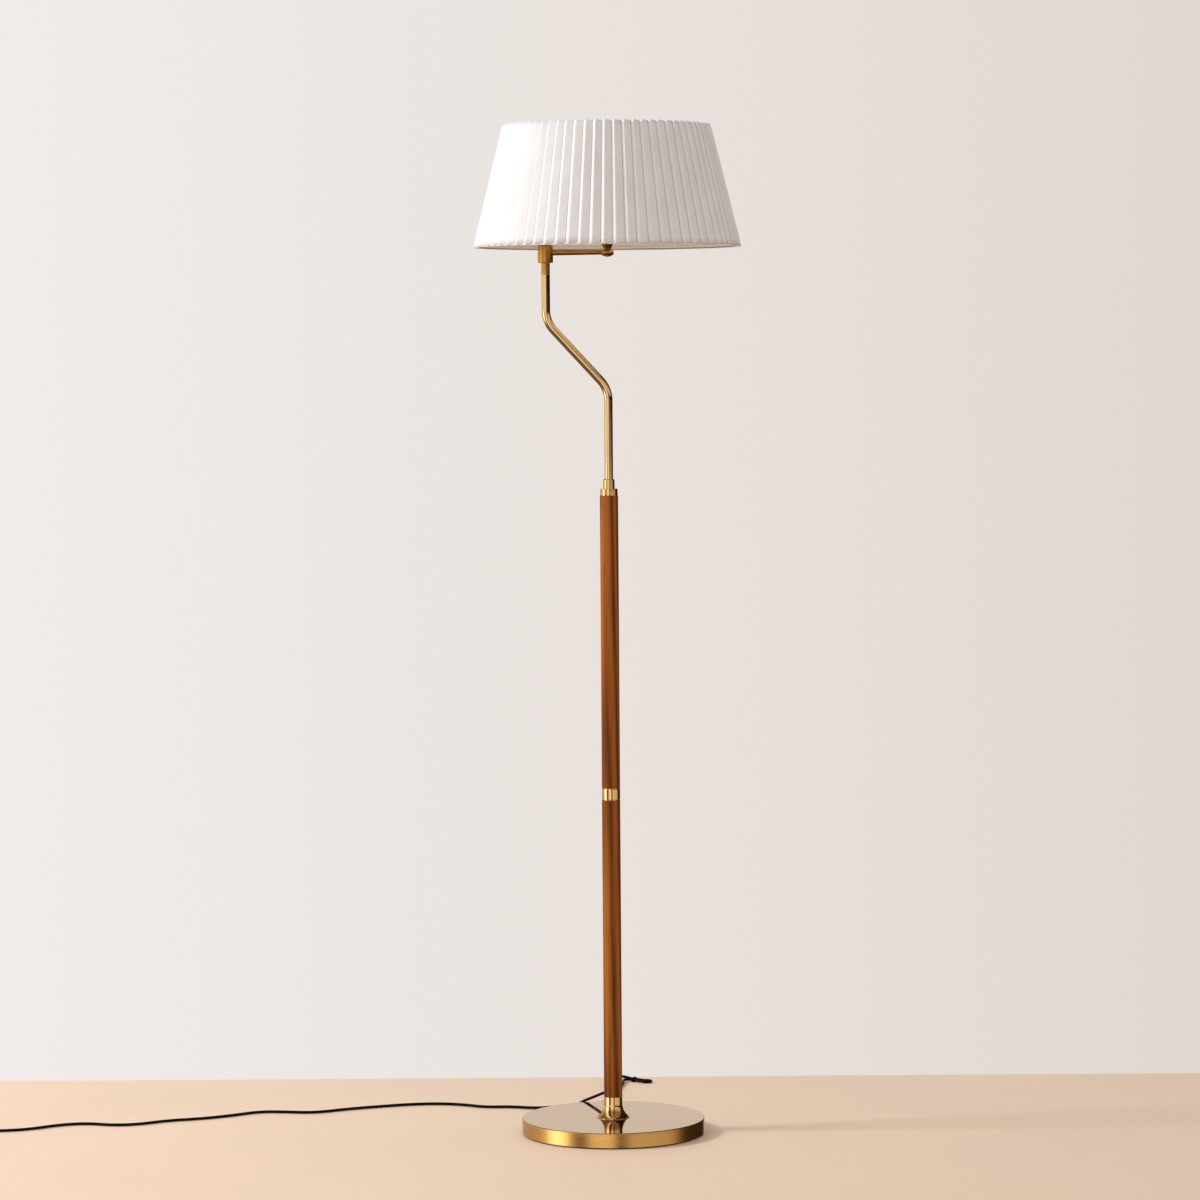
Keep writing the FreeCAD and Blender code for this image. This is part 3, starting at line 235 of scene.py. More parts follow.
def placed(name: str, data: bpy.types.ID) -> Piece:
    """Put an object with this data at the scene's origin.

    Args:
        name: The object's name.
        data: The mesh, curve, light or camera that it shows.

    Returns:
        The object.
    """
    made = bpy.data.objects.new(name, data)
    bpy.context.scene.collection.objects.link(made)
    return made


def metres(values: Iterable[float]) -> tuple[float, ...]:
    """Turn millimetres into metres."""
    return tuple(v * MM for v in values)


# ----------------------------------------------------------------------------------------------------------
# Finishes
# ----------------------------------------------------------------------------------------------------------


@dataclass(frozen=True)
class Finish:
    """A surface: what it is made of, how it was made, and its slot in the record.

    The common pattern is a fine grain that lifts the surface and a broad mottle in colour and gloss.
    """

    label: str
    slot: str
    colour: str
    roughness: float = 0.5
    metallic: float = 0.0
    coat: float = 0.0
    coat_roughness: float = 0.1
    sheen: float = 0.0
    grain_mm: float = 0.8
    grain_lift_mm: float = 0.02
    mottle: float = 0.06
    mottle_mm: float = 25.0
    gloss_spread: float = 0.05
    ior: float = 1.5
    transmission: float = 0.0
    specular: float = 0.5

    def pattern(self, graph: NodeGraph, place: Socket) -> dict:
        """Make the grain and the mottle.

        Args:
            graph: The material's nodes.
            place: The object coordinates.

        Returns:
            Sockets and numbers for the shader, by input name.
        """
        broad = graph.noise(place, self.mottle_mm, 3.0)
        fine = graph.noise(place, self.grain_mm)
        tone = graph.span(broad, *NOISE_SPAN, 1 - self.mottle, 1 + self.mottle)
        colour = graph.blend(1.0, linear(self.colour), tone, blend_type="MULTIPLY")
        return self.inputs(graph, colour, broad, fine, self.grain_lift_mm)

    def inputs(self, graph: NodeGraph, colour: Socket, shine: Socket, relief: Socket, lift_mm: float) -> dict:
        """Return the shader's inputs: a colour, a gloss spread by one pattern, and another as relief.

        Args:
            graph: The material's nodes.
            colour: The base colour.
            shine: The pattern that spreads the gloss.
            relief: The pattern that lifts the surface.
            lift_mm: How far it lifts it.

        Returns:
            The values by the shader's input.
        """
        low, high = self.roughness - self.gloss_spread, self.roughness + self.gloss_spread
        return {"Base Color": colour, "Roughness": graph.span(shine, *NOISE_SPAN, low, high),
                "Normal": graph.bump(relief, lift_mm)}

    def material(self) -> bpy.types.Material:
        """Return the finish's material, making it the first time.

        Returns:
            The material.
        """
        made = bpy.data.materials.get(self.label)
        if made is not None:
            return made
        made = bpy.data.materials.new(self.label)
        made.use_nodes = True
        made.node_tree.nodes.clear()
        graph = NodeGraph(made.node_tree)
        place = graph.add("ShaderNodeTexCoord", out="Object")
        values = {"Metallic": self.metallic, "Coat Weight": self.coat, "Coat Roughness": self.coat_roughness,
                  "Sheen Weight": self.sheen, "Transmission Weight": self.transmission}
        if self.metallic < 1:
            values |= {"IOR": self.ior, "Specular IOR Level": self.specular}
        shader = graph.add("ShaderNodeBsdfPrincipled", at=values | self.pattern(graph, place))
        graph.add("ShaderNodeOutputMaterial", at={"Surface": shader})
        return made


@dataclass(frozen=True)
class TurnedBrass(Finish):
    """Yellow brass that was turned and then polished or brushed round its own axis."""

    metallic: float = 1.0
    line_mm: float = 0.5
    line_lift_mm: float = 0.004
    line_patches: float = 1.6
    brushing: float = 0.0
    axis_x_mm: float = 0.0
    shade_colour: str = "#B98A45"
    shade_share: float = 0.35

    def pattern(self, graph: NodeGraph, place: Socket) -> dict:
        """Make fine lines round the turning axis, and a faint warm and pale mottle.

        Args:
            graph: The material's nodes.
            place: The object coordinates.

        Returns:
            Sockets and numbers for the shader, by input name.
        """
        lines_per_metre = 1 / (self.line_mm * MM)
        centred = graph.add("ShaderNodeMapping", place, (-self.axis_x_mm * MM, 0.0, 0.0))
        flat = graph.vector("MULTIPLY", centred, (1.0, 1.0, 0.0))
        heading = graph.vector("NORMALIZE", flat)
        around = graph.vector("MULTIPLY", heading, (self.line_patches, self.line_patches, 0.0))
        height = graph.vector("MULTIPLY", centred, (0.0, 0.0, lines_per_metre))
        spread = graph.math("MULTIPLY", graph.vector("LENGTH", flat, out="Value"), lines_per_metre)
        lines = graph.add(NOISE, graph.vector("ADD", around, height), spread,
                          at={"Scale": 1.0, "Detail": 2.0}, noise_dimensions="4D")
        share = graph.span(graph.noise(place, self.mottle_mm), 0.35, 0.7, 0.0, self.shade_share)
        colour = graph.blend(share, linear(self.colour), linear(self.shade_colour))
        values = self.inputs(graph, colour, lines, lines, self.line_lift_mm)
        if self.brushing:
            values["Anisotropic"] = self.brushing
            values["Tangent"] = graph.add("ShaderNodeTangent", direction_type="RADIAL", axis="Z")
        return values


@dataclass(frozen=True)
class TurnedHardwood(Finish):
    """A turned hardwood dowel with its grain upright, stained reddish brown and lacquered."""

    dark: str = "#4A2005"
    light: str = "#B06C26"
    stretch: float = 0.035
    ring_mm: float = 5.0
    ring_phase: float = 20.0
    streaks_per_metre: float = 130.0
    streak_share: float = 0.6
    fleck_mm: float = 0.9
    pore_share: float = 0.55

    def pattern(self, graph: NodeGraph, place: Socket) -> dict:
        """Make year rings that run up the dowel, broad streaks and short dark pores.

        Args:
            graph: The material's nodes.
            place: The object coordinates.

        Returns:
            Sockets and numbers for the shader, by input name.
        """
        upright = graph.add("ShaderNodeMapping", place, at={"Scale": (1.0, 1.0, self.stretch)})
        rings = graph.add("ShaderNodeTexWave", upright, out="Fac", wave_type="BANDS",
                          bands_direction="DIAGONAL",
                          at={"Scale": math.pi / (self.ring_mm * MM * self.ring_phase), "Distortion": 5.0,
                              "Detail": 3.0, "Detail Scale": 1.2, "Detail Roughness": 0.6})
        streaks = graph.add(NOISE, upright,
                            at={"Scale": self.streaks_per_metre, "Detail": 4.0, "Roughness": 0.6})
        fine = graph.noise(upright, self.fleck_mm, Roughness=0.7)
        pores = graph.span(fine, 0.57, 0.70, 0.0, self.pore_share)
        share = graph.span(graph.mix(self.streak_share, rings, streaks), 0.25, 0.75, 0.12, 0.88)
        ramp = graph.add("ShaderNodeValToRGB", share)
        stops = ramp.node.color_ramp.elements
        stops[0].color, stops[1].color = linear(self.dark), linear(self.light)
        stops.new(0.5).color = linear(self.colour)
        colour = graph.blend(pores, ramp, linear(self.dark))
        return self.inputs(graph, colour, streaks, fine, self.grain_lift_mm)


@dataclass(frozen=True)
class WovenCotton(Finish):
    """Plain-woven cotton whose threads follow the cloth's own map, laid out in metres."""

    thread_mm: float = 0.9
    slubs_per_metre: Point = (60.0, 700.0, 0.0)
    shadow: str = "#D8D6D6"
    shadow_share: float = 0.35
    pleat_mm: float = 19.322
    # Painted shade along each pleat's inner fold: its colour, its width and how strong it is.
    crease: str = "#A79D97"
    painted_fold_shade_mm: float = 1.5
    painted_fold_shade_share: float = 0.65

    def pattern(self, graph: NodeGraph, place: Socket) -> dict:
        """Make the weave of two sets of threads with slubs, and paint shade into each pleat's inner fold, a
        darker line where the folds shade the cloth.

        Args:
            graph: The material's nodes.
            place: The object coordinates.

        Returns:
            Sockets and numbers for the shader, by input name.
        """
        cloth = graph.add("ShaderNodeUVMap", uv_map="UVMap")
        turns = FULL_TURN / (self.thread_mm * MM)
        scaled = graph.vector("MULTIPLY", cloth, (turns, turns, 0.0))
        threads = graph.add("ShaderNodeSeparateXYZ", scaled).node.outputs
        weave = graph.math("MULTIPLY", graph.math("SINE", threads[0]), graph.math("SINE", threads[1]))
        slub_map = graph.vector("MULTIPLY", cloth, self.slubs_per_metre)
        slubs = graph.add(NOISE, slub_map, at={"Scale": 1.0, "Detail": 3.0})
        height = graph.math("MULTIPLY_ADD", weave, slubs, slubs)
        mixed = graph.math("MULTIPLY", slubs, graph.noise(place, self.mottle_mm))
        share = graph.span(mixed, 0.12, 0.42, self.shadow_share, 0.0)
        cotton = graph.blend(share, linear(self.colour), linear(self.shadow))
        # Painted shade: the colour darkens along each pleat's inner fold, where the folds shade the cloth.
        along = graph.add("ShaderNodeSeparateXYZ", cloth).node.outputs[0]
        nearest = graph.math("PINGPONG", along, self.pleat_mm / 2 * MM)
        painted_fold_shading = graph.span(nearest, 0.0, self.painted_fold_shade_mm * MM, self.painted_fold_shade_share, 0.0)
        colour = graph.blend(painted_fold_shading, cotton, linear(self.crease))
        return {"Base Color": colour, "Roughness": self.roughness,
                "Normal": graph.bump(height, self.grain_lift_mm, 0.5)}


# Clear-lacquered yellow brass, polished: it mirrors the room, with a faint trace of its turning.
POLISHED_BRASS = TurnedBrass("polished_lacquered_brass", "polished_brass", "#E3BA82", roughness=0.08,
                             gloss_spread=0.02, line_lift_mm=0.0006, line_mm=0.8, mottle_mm=60.0,
                             shade_colour="#CCA768")
# The drawn tube: the same polish without any trace of turning.
DRAWN_BRASS = Finish("polished_drawn_brass", "polished_brass", "#DEBD88", roughness=0.09, metallic=1.0,
                     grain_mm=2.0, grain_lift_mm=0.0004, mottle=0.04, mottle_mm=60.0, gloss_spread=0.02)
# The top of the foot: flat mirror with the palest gold, faint rings of its spinning.
MIRROR_BRASS = TurnedBrass("mirror_polished_brass", "polished_brass", "#C09E76", roughness=0.07,
                           gloss_spread=0.015, line_lift_mm=0.0004, line_mm=1.5, mottle_mm=90.0,
                           shade_colour="#B59168")
# The rim of the foot: brushed round, so that highlights stand as upright streaks.
BRUSHED_BRASS = TurnedBrass("brushed_lacquered_brass", "polished_brass", "#D6A762", roughness=0.22,
                            gloss_spread=0.06, line_lift_mm=0.006, line_mm=0.45, brushing=0.6, mottle_mm=70.0,
                            shade_colour="#C08C48")
# Satin brass of the pivot, arm and hub: deeper gold with a soft sheen, partly a real satin finish and partly
# painted shade for their place under the lampshade.
SATIN_BRASS_DARKENED_AS_SHADE = TurnedBrass("satin_lacquered_brass", "satin_brass", "#C69040", roughness=0.22,
                          gloss_spread=0.04, line_lift_mm=0.004, line_mm=0.4, mottle_mm=30.0,
                          shade_colour="#946224")
# The same brass with its painted shade, its turning lines centred on the pivot.
KNUCKLE_BRASS_DARKENED_AS_SHADE = replace(SATIN_BRASS_DARKENED_AS_SHADE, label="satin_brass_of_the_pivot", axis_x_mm=-94.0)
# Bright pressed brass sheet of the screw shell.
PRESSED_BRASS = TurnedBrass("pressed_sheet_brass", "shell_brass", "#E0BC70", roughness=0.22,
                            gloss_spread=0.05, line_lift_mm=0.003, line_mm=0.6, mottle_mm=12.0)
# Stained and lacquered dowel: fine upright grain under a thin satin coat.
WOOD = TurnedHardwood("stained_lacquered_hardwood", "wood", "#8C4B14", roughness=0.5, gloss_spread=0.06,
                      coat=0.08, coat_roughness=0.3, grain_lift_mm=0.03, specular=0.12)
# White cotton, plain weave; the threads are drawn coarser than real ones, so that they show, and the inner
# fold of each pleat is darkened as painted shade.
PLEATED_COTTON = WovenCotton("pleated_white_cotton", "pleated_fabric", "#F4F6F9", roughness=0.85, sheen=0.25,
                             grain_lift_mm=0.05, mottle_mm=40.0)
# Cotton sewing thread of the bindings, a shade darker than the cloth.
THREAD = Finish("twisted_cotton_thread", "pleated_fabric", "#E6E0D8", roughness=0.9, sheen=0.2, grain_mm=0.3,
                grain_lift_mm=0.05)
# White laminated card behind the pleats: smooth, with the faint cloudiness of paper.
CARD = Finish("white_laminated_card", "liner", "#EFEBE4", roughness=0.7, grain_mm=0.6, grain_lift_mm=0.02,
              mottle=0.04, mottle_mm=8.0)
# Black PVC sheath of a mains cord: smooth, slightly waxy.
CORD_PVC = Finish("extruded_black_pvc", "black_cord", "#050505", roughness=0.5, specular=0.15, grain_mm=0.7,
                  grain_lift_mm=0.02, mottle=0.2, mottle_mm=15.0)
TIE_PVC = Finish("soft_black_pvc_tie", "black_tie", "#060606", roughness=0.6, specular=0.15, grain_mm=0.5,
                 grain_lift_mm=0.03, mottle=0.15, mottle_mm=5.0)
# Moulded black thermoplastic and phenolic: fine spark-eroded texture from the mould.
MOULDED_BLACK = Finish("moulded_black_thermoplastic", "black_plastic", "#141416", roughness=0.45,
                       grain_mm=0.5, grain_lift_mm=0.02, mottle=0.12, mottle_mm=9.0)
ZINC_STEEL = Finish("zinc_plated_steel", "steel", "#A9ABAF", roughness=0.32, metallic=1.0, grain_mm=0.4,
                    grain_lift_mm=0.006, mottle=0.08, mottle_mm=4.0, gloss_spread=0.08)
NICKEL = Finish("bright_nickel_plate", "nickel", "#C9C6BD", roughness=0.18, metallic=1.0, grain_mm=0.5,
                grain_lift_mm=0.003, mottle=0.05, mottle_mm=5.0, gloss_spread=0.05)
# Unglazed steatite of the contact block: chalky white with a fine grit.
STEATITE = Finish("pressed_steatite", "ceramic", "#E9E5DC", roughness=0.7, grain_mm=0.35, grain_lift_mm=0.03,
                  mottle=0.05, mottle_mm=4.0)
# Acid-frosted bulb glass: milky, with a soft bloom instead of a mirror.
FROSTED_GLASS = Finish("acid_frosted_glass", "bulb_glass", "#F3F1EC", roughness=0.38, transmission=0.45,
                       grain_mm=0.4, grain_lift_mm=0.01, mottle=0.02, mottle_mm=15.0)
FOAM = Finish("closed_cell_foam", "foam", "#17181A", roughness=0.9, grain_mm=0.6, grain_lift_mm=0.12,
              mottle=0.25, mottle_mm=6.0)
CAST_IRON = Finish("grey_cast_iron", "cast_iron", "#3A3B3D", roughness=0.75, metallic=0.6, grain_mm=1.2,
                   grain_lift_mm=0.2, mottle=0.2, mottle_mm=12.0)
# White powder coat on the shade's wires: soft orange peel.
POWDER_COAT = Finish("white_powder_coat", "white_paint", "#E7E4DD", roughness=0.48, grain_mm=1.0,
                     grain_lift_mm=0.03, mottle=0.03, mottle_mm=10.0)
NYLON = Finish("natural_moulded_nylon", "nylon", "#DEDBD0", roughness=0.5, grain_mm=0.5, grain_lift_mm=0.01,
               mottle=0.04, mottle_mm=5.0)
# Plain pale studio floor.
FLOOR = Finish("pale_studio_floor", "", "#F0D7BE", roughness=0.55, grain_mm=3.0, grain_lift_mm=0.02,
               mottle=0.015, mottle_mm=300.0)


# ----------------------------------------------------------------------------------------------------------
# Meshes
# ----------------------------------------------------------------------------------------------------------


def coat(mesh: bpy.types.Mesh, finish: Finish) -> None:
    """Shade a mesh smoothly between its crisp edges, and give it one finish.

    Args:
        mesh: The mesh.
        finish: Its finish.
    """
    mesh.shade_smooth()
    mesh.set_sharp_from_angle(angle=math.radians(CRISP_DEG))
    mesh.materials.clear()
    mesh.materials.append(finish.material())


def mesh_object(name: str, vertices: list, faces: list, finish: Finish) -> Piece:
    """Make an object at the origin from its points and faces.

    Args:
        name: The piece's name.
        vertices: Points in metres.
        faces: Corner numbers of each face, turning outwards.
        finish: What it is finished in.

    Returns:
        The object.
    """
    mesh = bpy.data.meshes.new(name)
    mesh.from_pydata(vertices, [], faces)
    mesh.validate()
    coat(mesh, finish)
    return placed(name, mesh)


def arc(centre: tuple[float, float], radius: float, start_deg: float, end_deg: float, steps: int) -> Outline:
    """Return points on an arc of an outline, both ends among them."""
    angles = [math.radians(start_deg + (end_deg - start_deg) * i / steps) for i in range(steps + 1)]
    return [(centre[0] + radius * math.cos(a), centre[1] + radius * math.sin(a)) for a in angles]


def raised(profile: Profile, level: float) -> Outline:
    """Lift an outline to a level."""
    return [(radius, level + height) for radius, height in profile]


def softened(outline: Outline, radius: float, steps: int = 3) -> Outline:
    """Round an outline's sharp corners off the axis, and hold the flats beside them with one more point.

    Args:
        outline: Radius and height of each corner; the last joins the first.
        radius: The rounding, made smaller where an edge is short.
        steps: Straight pieces per rounding.

    Returns:
        The rounded outline.
    """
    rounded = []
    for i, corner in enumerate(outline):
        here, before, after = (Vector(p) for p in (corner, outline[i - 1], outline[(i + 1) % len(outline)]))
        back, ahead = before - here, after - here
        turn = math.pi - back.angle(ahead, math.pi)
        if turn < math.radians(25) or here.x < 1e-6:
            rounded.append(tuple(here))
            continue
        reach = min(radius * math.tan(turn / 2), 0.4 * back.length, 0.4 * ahead.length)
        support = min(2.2 * reach, 0.48 * back.length, 0.48 * ahead.length)
        start, end = here + back.normalized() * reach, here + ahead.normalized() * reach
        rounded.append(tuple(here + back.normalized() * support))
        for k in range(steps + 1):
            t = k / steps
            rounded.append(tuple(start * (1 - t) ** 2 + here * 2 * t * (1 - t) + end * t * t))
        rounded.append(tuple(here + ahead.normalized() * support))
    return rounded


def turned(name: str, outline: Outline, finish: Finish, centre: Point = (0.0, 0.0, 0.0), axis: Axis = Axis.UP,
           segments: int = 160, edge: float = 0.25) -> Piece:
    """Turn a closed outline round an axis.

    Args:
        name: The piece's name.
        outline: Radius and height of each corner, counter-clockwise with the radius to the right.
        finish: What it is finished in.
        centre: Where the axis has height 0.
        axis: The way that the axis points.
        segments: Flats round the piece.
        edge: Rounding of the sharp corners.

    Returns:
        The object.
    """
    profile = softened(outline, edge) if edge else outline
    place = Matrix.Translation(Vector(centre) * MM) @ axis.turn()
    vertices, rows = [], []
    for radius, height in profile:
        if radius < 1e-6:
            rows.append([len(vertices)] * segments)
            vertices.append(place @ (Vector((0, 0, height)) * MM))
            continue
        rows.append(list(range(len(vertices), len(vertices) + segments)))
        for i in range(segments):
            a = FULL_TURN * i / segments
            vertices.append(place @ (Vector((radius * math.cos(a), radius * math.sin(a), height)) * MM))
    faces = []
    for low, high in zip(rows, rows[1:] + rows[:1]):
        for i in range(segments):
            k = (i + 1) % segments
            corners = list(dict.fromkeys((low[i], low[k], high[k], high[i])))
            if len(corners) > 2:
                faces.append(corners)
    return mesh_object(name, vertices, faces, finish)


def swept(name: str, path: list[Point], radius: float, finish: Finish, sides: int) -> Piece:
    """Draw a round bar along a path, closed at both ends.

    Args:
        name: The piece's name.
        path: Points of the middle line, in millimetres.
        radius: The bar's radius.
        finish: What it is finished in.
        sides: Flats round the bar.

    Returns:
        The object.
    """
    points = [Vector(p) for p in path]
    heading = (points[1] - points[0]).normalized()
    side = heading.orthogonal().normalized()
    vertices, faces = [], []
    for i, point in enumerate(points):
        ahead = (points[min(i + 1, len(points) - 1)] - points[max(i - 1, 0)]).normalized()
        side = (side - ahead * side.dot(ahead)).normalized()
        across = ahead.cross(side)
        for k in range(sides):
            a = FULL_TURN * k / sides
            vertices.append((point + (side * math.cos(a) + across * math.sin(a)) * radius) * MM)
    for i in range(len(points) - 1):
        for k in range(sides):
            n = (k + 1) % sides
            faces.append((i * sides + k, i * sides + n, (i + 1) * sides + n, (i + 1) * sides + k))
    faces.append(tuple(reversed(range(sides))))
    faces.append(tuple(range((len(points) - 1) * sides, len(points) * sides)))
    return mesh_object(name, vertices, faces, finish)


def bent(corners: list[Point], radius: float, steps: int = 24, lead_mm: float = 2.0) -> list[Point]:
    """Return a path through corners with each inner corner made an arc.

    Args:
        corners: The path's corners, in millimetres.
        radius: The arcs' radius.
        steps: Straight pieces per arc.
        lead_mm: How far before and after each arc the straight stretches get one more point.

    Returns:
        Points along the path.
    """
    points = [Vector(c) for c in corners]
    path = [points[0]]
    for before, here, after in zip(points, points[1:], points[2:]):
        back, ahead = (before - here).normalized(), (after - here).normalized()
        half = back.angle(ahead) / 2
        reach = radius / math.tan(half)
        centre = here + (back + ahead).normalized() * (radius / math.sin(half))
        start, end = (here + way * reach - centre for way in (back, ahead))
        path.append(centre + start + back * lead_mm)
        for i in range(steps + 1):
            path.append(centre + start.normalized().slerp(end.normalized(), i / steps) * radius)
        path.append(centre + end + ahead * lead_mm)
    path.append(points[-1])
    return [tuple(p) for p in path]


def settled(carrier: Piece, name: str) -> Piece:
    """Make a plain mesh of what an object's modifiers give, and drop the object.

    Args:
        carrier: The object with its modifiers.
        name: The new piece's name.

    Returns:
        The plain object.
    """
    bpy.context.view_layer.update()
    graph = bpy.context.evaluated_depsgraph_get()
    mesh = bpy.data.meshes.new_from_object(carrier.evaluated_get(graph), preserve_all_data_layers=True,
                                           depsgraph=graph)
    carrier.modifiers.clear()
    bpy.data.objects.remove(carrier)
    mesh.name = name
    return placed(name, mesh)


def refined(frame: dict, node: str, finish: Finish, edge_mm: float) -> Piece:
    """Copy a solid's mesh, merge it, round its edges and shade it smoothly.

    Args:
        frame: The loaded frame.
        node: The solid's node.
        finish: What it is finished in.
        edge_mm: The rounding of its edges, or 0 for none.

    Returns:
        The new object.
    """
    name = node + "_dressed"
    form = bmesh.new()
    form.from_mesh(frame["nodes"][node].data)
    bmesh.ops.remove_doubles(form, verts=form.verts, dist=0.002 * MM)
    bmesh.ops.dissolve_limit(form, angle_limit=math.radians(0.6), verts=form.verts, edges=form.edges)
    mesh = bpy.data.meshes.new(name)
    form.to_mesh(mesh)
    form.free()
    coat(mesh, finish)
    carrier = placed(name + "_form", mesh)
    if edge_mm:
        bevel = carrier.modifiers.new("edges", "BEVEL")
        bevel.width, bevel.segments = edge_mm * MM, 2
        bevel.limit_method, bevel.angle_limit = "ANGLE", math.radians(BEVEL_DEG)
        bevel.harden_normals = True
    return settled(carrier, name)


def walled(form: Piece, name: str, wall_mm: float) -> Piece:
    """Give a one-layer form a wall inwards.

    Args:
        form: The one-layer form, which is used up.
        name: The piece's name.
        wall_mm: The wall's thickness.

    Returns:
        The piece with its wall.
    """
    wall = form.modifiers.new("wall", "SOLIDIFY")
    wall.thickness, wall.offset = wall_mm * MM, -1.0
    return settled(form, name)


def joined(name: str, pieces: list[Piece]) -> Piece:
    """Join plain mesh objects into one, keeping their materials.

    Args:
        name: The piece's name.
        pieces: The objects to join.

    Returns:
        The first of them, which now holds them all.
    """
    with bpy.context.temp_override(active_object=pieces[0], selected_editable_objects=pieces):
        bpy.ops.object.join()
    pieces[0].name = pieces[0].data.name = name
    return pieces[0]


# ----------------------------------------------------------------------------------------------------------
# Geometry Nodes
# ----------------------------------------------------------------------------------------------------------


@dataclass
class GeometryRule:
    """A Geometry Nodes tree with named inputs, run once to give a plain mesh."""

    name: str
    inputs: dict[str, float] = field(default_factory=dict)

    def lay_out(self, graph: NodeGraph, given: Sockets) -> Socket:
        """Build the rule's nodes and return its geometry; each rule has its own."""
        raise NotImplementedError

    def grown(self, finish: Finish) -> Piece:
        """Build the tree, run it and bake it.

        Args:
            finish: What the piece is finished in.

        Returns:
            The plain object.
        """
        tree = bpy.data.node_groups.new(self.name, "GeometryNodeTree")
        for label, value in self.inputs.items():
            kind = "NodeSocketInt" if isinstance(value, int) else "NodeSocketFloat"
            tree.interface.new_socket(label, in_out="INPUT", socket_type=kind)
        tree.interface.new_socket("Geometry", in_out="OUTPUT", socket_type="NodeSocketGeometry")
        graph = NodeGraph(tree)
        source = tree.nodes.new("NodeGroupInput")
        given = {label: source.outputs[label] for label in self.inputs}
        shape = self.lay_out(graph, given)
        whole = graph.add("GeometryNodeRealizeInstances", shape)
        smooth = graph.add("GeometryNodeSetShadeSmooth", whole)
        coated = graph.add("GeometryNodeSetMaterial", smooth, at={"Material": finish.material()})
        graph.add("NodeGroupOutput", coated)
        carrier = placed(self.name + "_form", bpy.data.meshes.new(self.name))
        rule = carrier.modifiers.new(self.name, "NODES")
        rule.node_group = tree
        for item in tree.interface.items_tree:
            if item.in_out == "INPUT":
                rule[item.identifier] = self.inputs[item.name]
        made = settled(carrier, self.name)
        bpy.data.node_groups.remove(tree)
        return made


@dataclass
class RingOfParts(GeometryRule):
    """Equal small parts set round a circle, such as ribs or stitches."""

    part: Unit = Unit.BEAD
    scale: Point = (1.0, 1.0, 1.0)
    centre: Point = (0.0, 0.0, 0.0)
    axis: Axis = Axis.UP

    def lay_out(self, graph: NodeGraph, given: Sockets) -> Socket:
        """Set the parts round the circle, each turned with it.

        Args:
            graph: The tree's nodes.
            given: The sockets Count and Radius.

        Returns:
            The parts in their place.
        """
        circle = graph.add("GeometryNodeMeshCircle", given["Count"], given["Radius"])
        sized = graph.add("GeometryNodeTransform", graph.add(*self.part.value),
                          at={"Scale": metres(self.scale)})
        spot = graph.position()
        heading = graph.math("ARCTAN2", spot[1], spot[0])
        turn = graph.add("ShaderNodeCombineXYZ", 0.0, 0.0, heading)
        ring = graph.add("GeometryNodeInstanceOnPoints", circle, at={"Instance": sized, "Rotation": turn})
        whole = graph.add("GeometryNodeRealizeInstances", ring)
        return graph.add("GeometryNodeTransform", whole, at={
            "Translation": metres(self.centre), "Rotation": self.axis.turn().to_euler()})


@dataclass
class RowsOfRibs(GeometryRule):
    """Straight ribs side by side on two opposite faces, as on a plug's grip."""

    scale: Point = (1.0, 1.0, 1.0)
    centre: Point = (0.0, 0.0, 0.0)

    def lay_out(self, graph: NodeGraph, given: Sockets) -> Socket:
        """Set two rows of ribs.

        Args:
            graph: The tree's nodes.
            given: The sockets Count, Step and Span.

        Returns:
            The ribs as instances.
        """
        step = graph.add("ShaderNodeCombineXYZ", 0.0, given["Step"], 0.0)
        line = graph.add("GeometryNodeMeshLine", given["Count"], at={"Offset": step})
        rib = graph.add("GeometryNodeTransform", graph.add(*Unit.BEAD.value),
                        at={"Scale": metres(self.scale)})
        row = graph.add("GeometryNodeInstanceOnPoints", line, at={"Instance": rib})
        up = graph.add("ShaderNodeCombineXYZ", 0.0, 0.0, given["Span"])
        over = graph.add("GeometryNodeTransform", row, at={"Translation": up})
        both = graph.add("GeometryNodeJoinGeometry", row)
        graph.tree.links.new(over, both.node.inputs[0])
        return graph.add("GeometryNodeTransform", both, at={"Translation": metres(self.centre)})


@dataclass(frozen=True)
class ThreadSizes:
    """A rolled thread's sizes, in millimetres."""

    radius: float
    base: float
    height: float
    depth: float
    pitch: float = 3.6

    def inputs(self) -> dict[str, float]:
        """Return the inputs of the thread's rule, in metres."""
        return {label.capitalize(): value * MM for label, value in asdict(self).items()}


@dataclass
class RolledThread(GeometryRule):
    """A thin-walled cap with a rolled thread, closed at neither end."""

    flats: int = 97

    def lay_out(self, graph: NodeGraph, given: Sockets) -> Socket:
        """Bend a grid into a tube whose radius follows the thread.

        Args:
            graph: The tree's nodes.
            given: The sockets Radius, Base, Height, Depth and Pitch.

        Returns:
            The tube.
        """
        grid = graph.add("GeometryNodeMeshGrid", 1.0, 1.0, self.flats, self.flats)
        spot = graph.position()
        angle = graph.math("MULTIPLY", spot[0], FULL_TURN)
        height = graph.math("MULTIPLY", graph.math("ADD", spot[1], 0.5), given["Height"])
        swing = graph.math("MULTIPLY", graph.math("DIVIDE", height, given["Pitch"]), FULL_TURN)
        wave = graph.math("COSINE", graph.math("SUBTRACT", swing, angle))
        dip = graph.span(wave, -1.0, 1.0, given["Depth"], 0.0)
        radius = graph.math("SUBTRACT", given["Radius"], dip)
        place = graph.around(angle, radius, graph.math("ADD", height, given["Base"]))
        tube = graph.add("GeometryNodeSetPosition", grid, at={"Position": place})
        return graph.add("GeometryNodeMergeByDistance", tube, at={"Distance": 0.01 * MM})


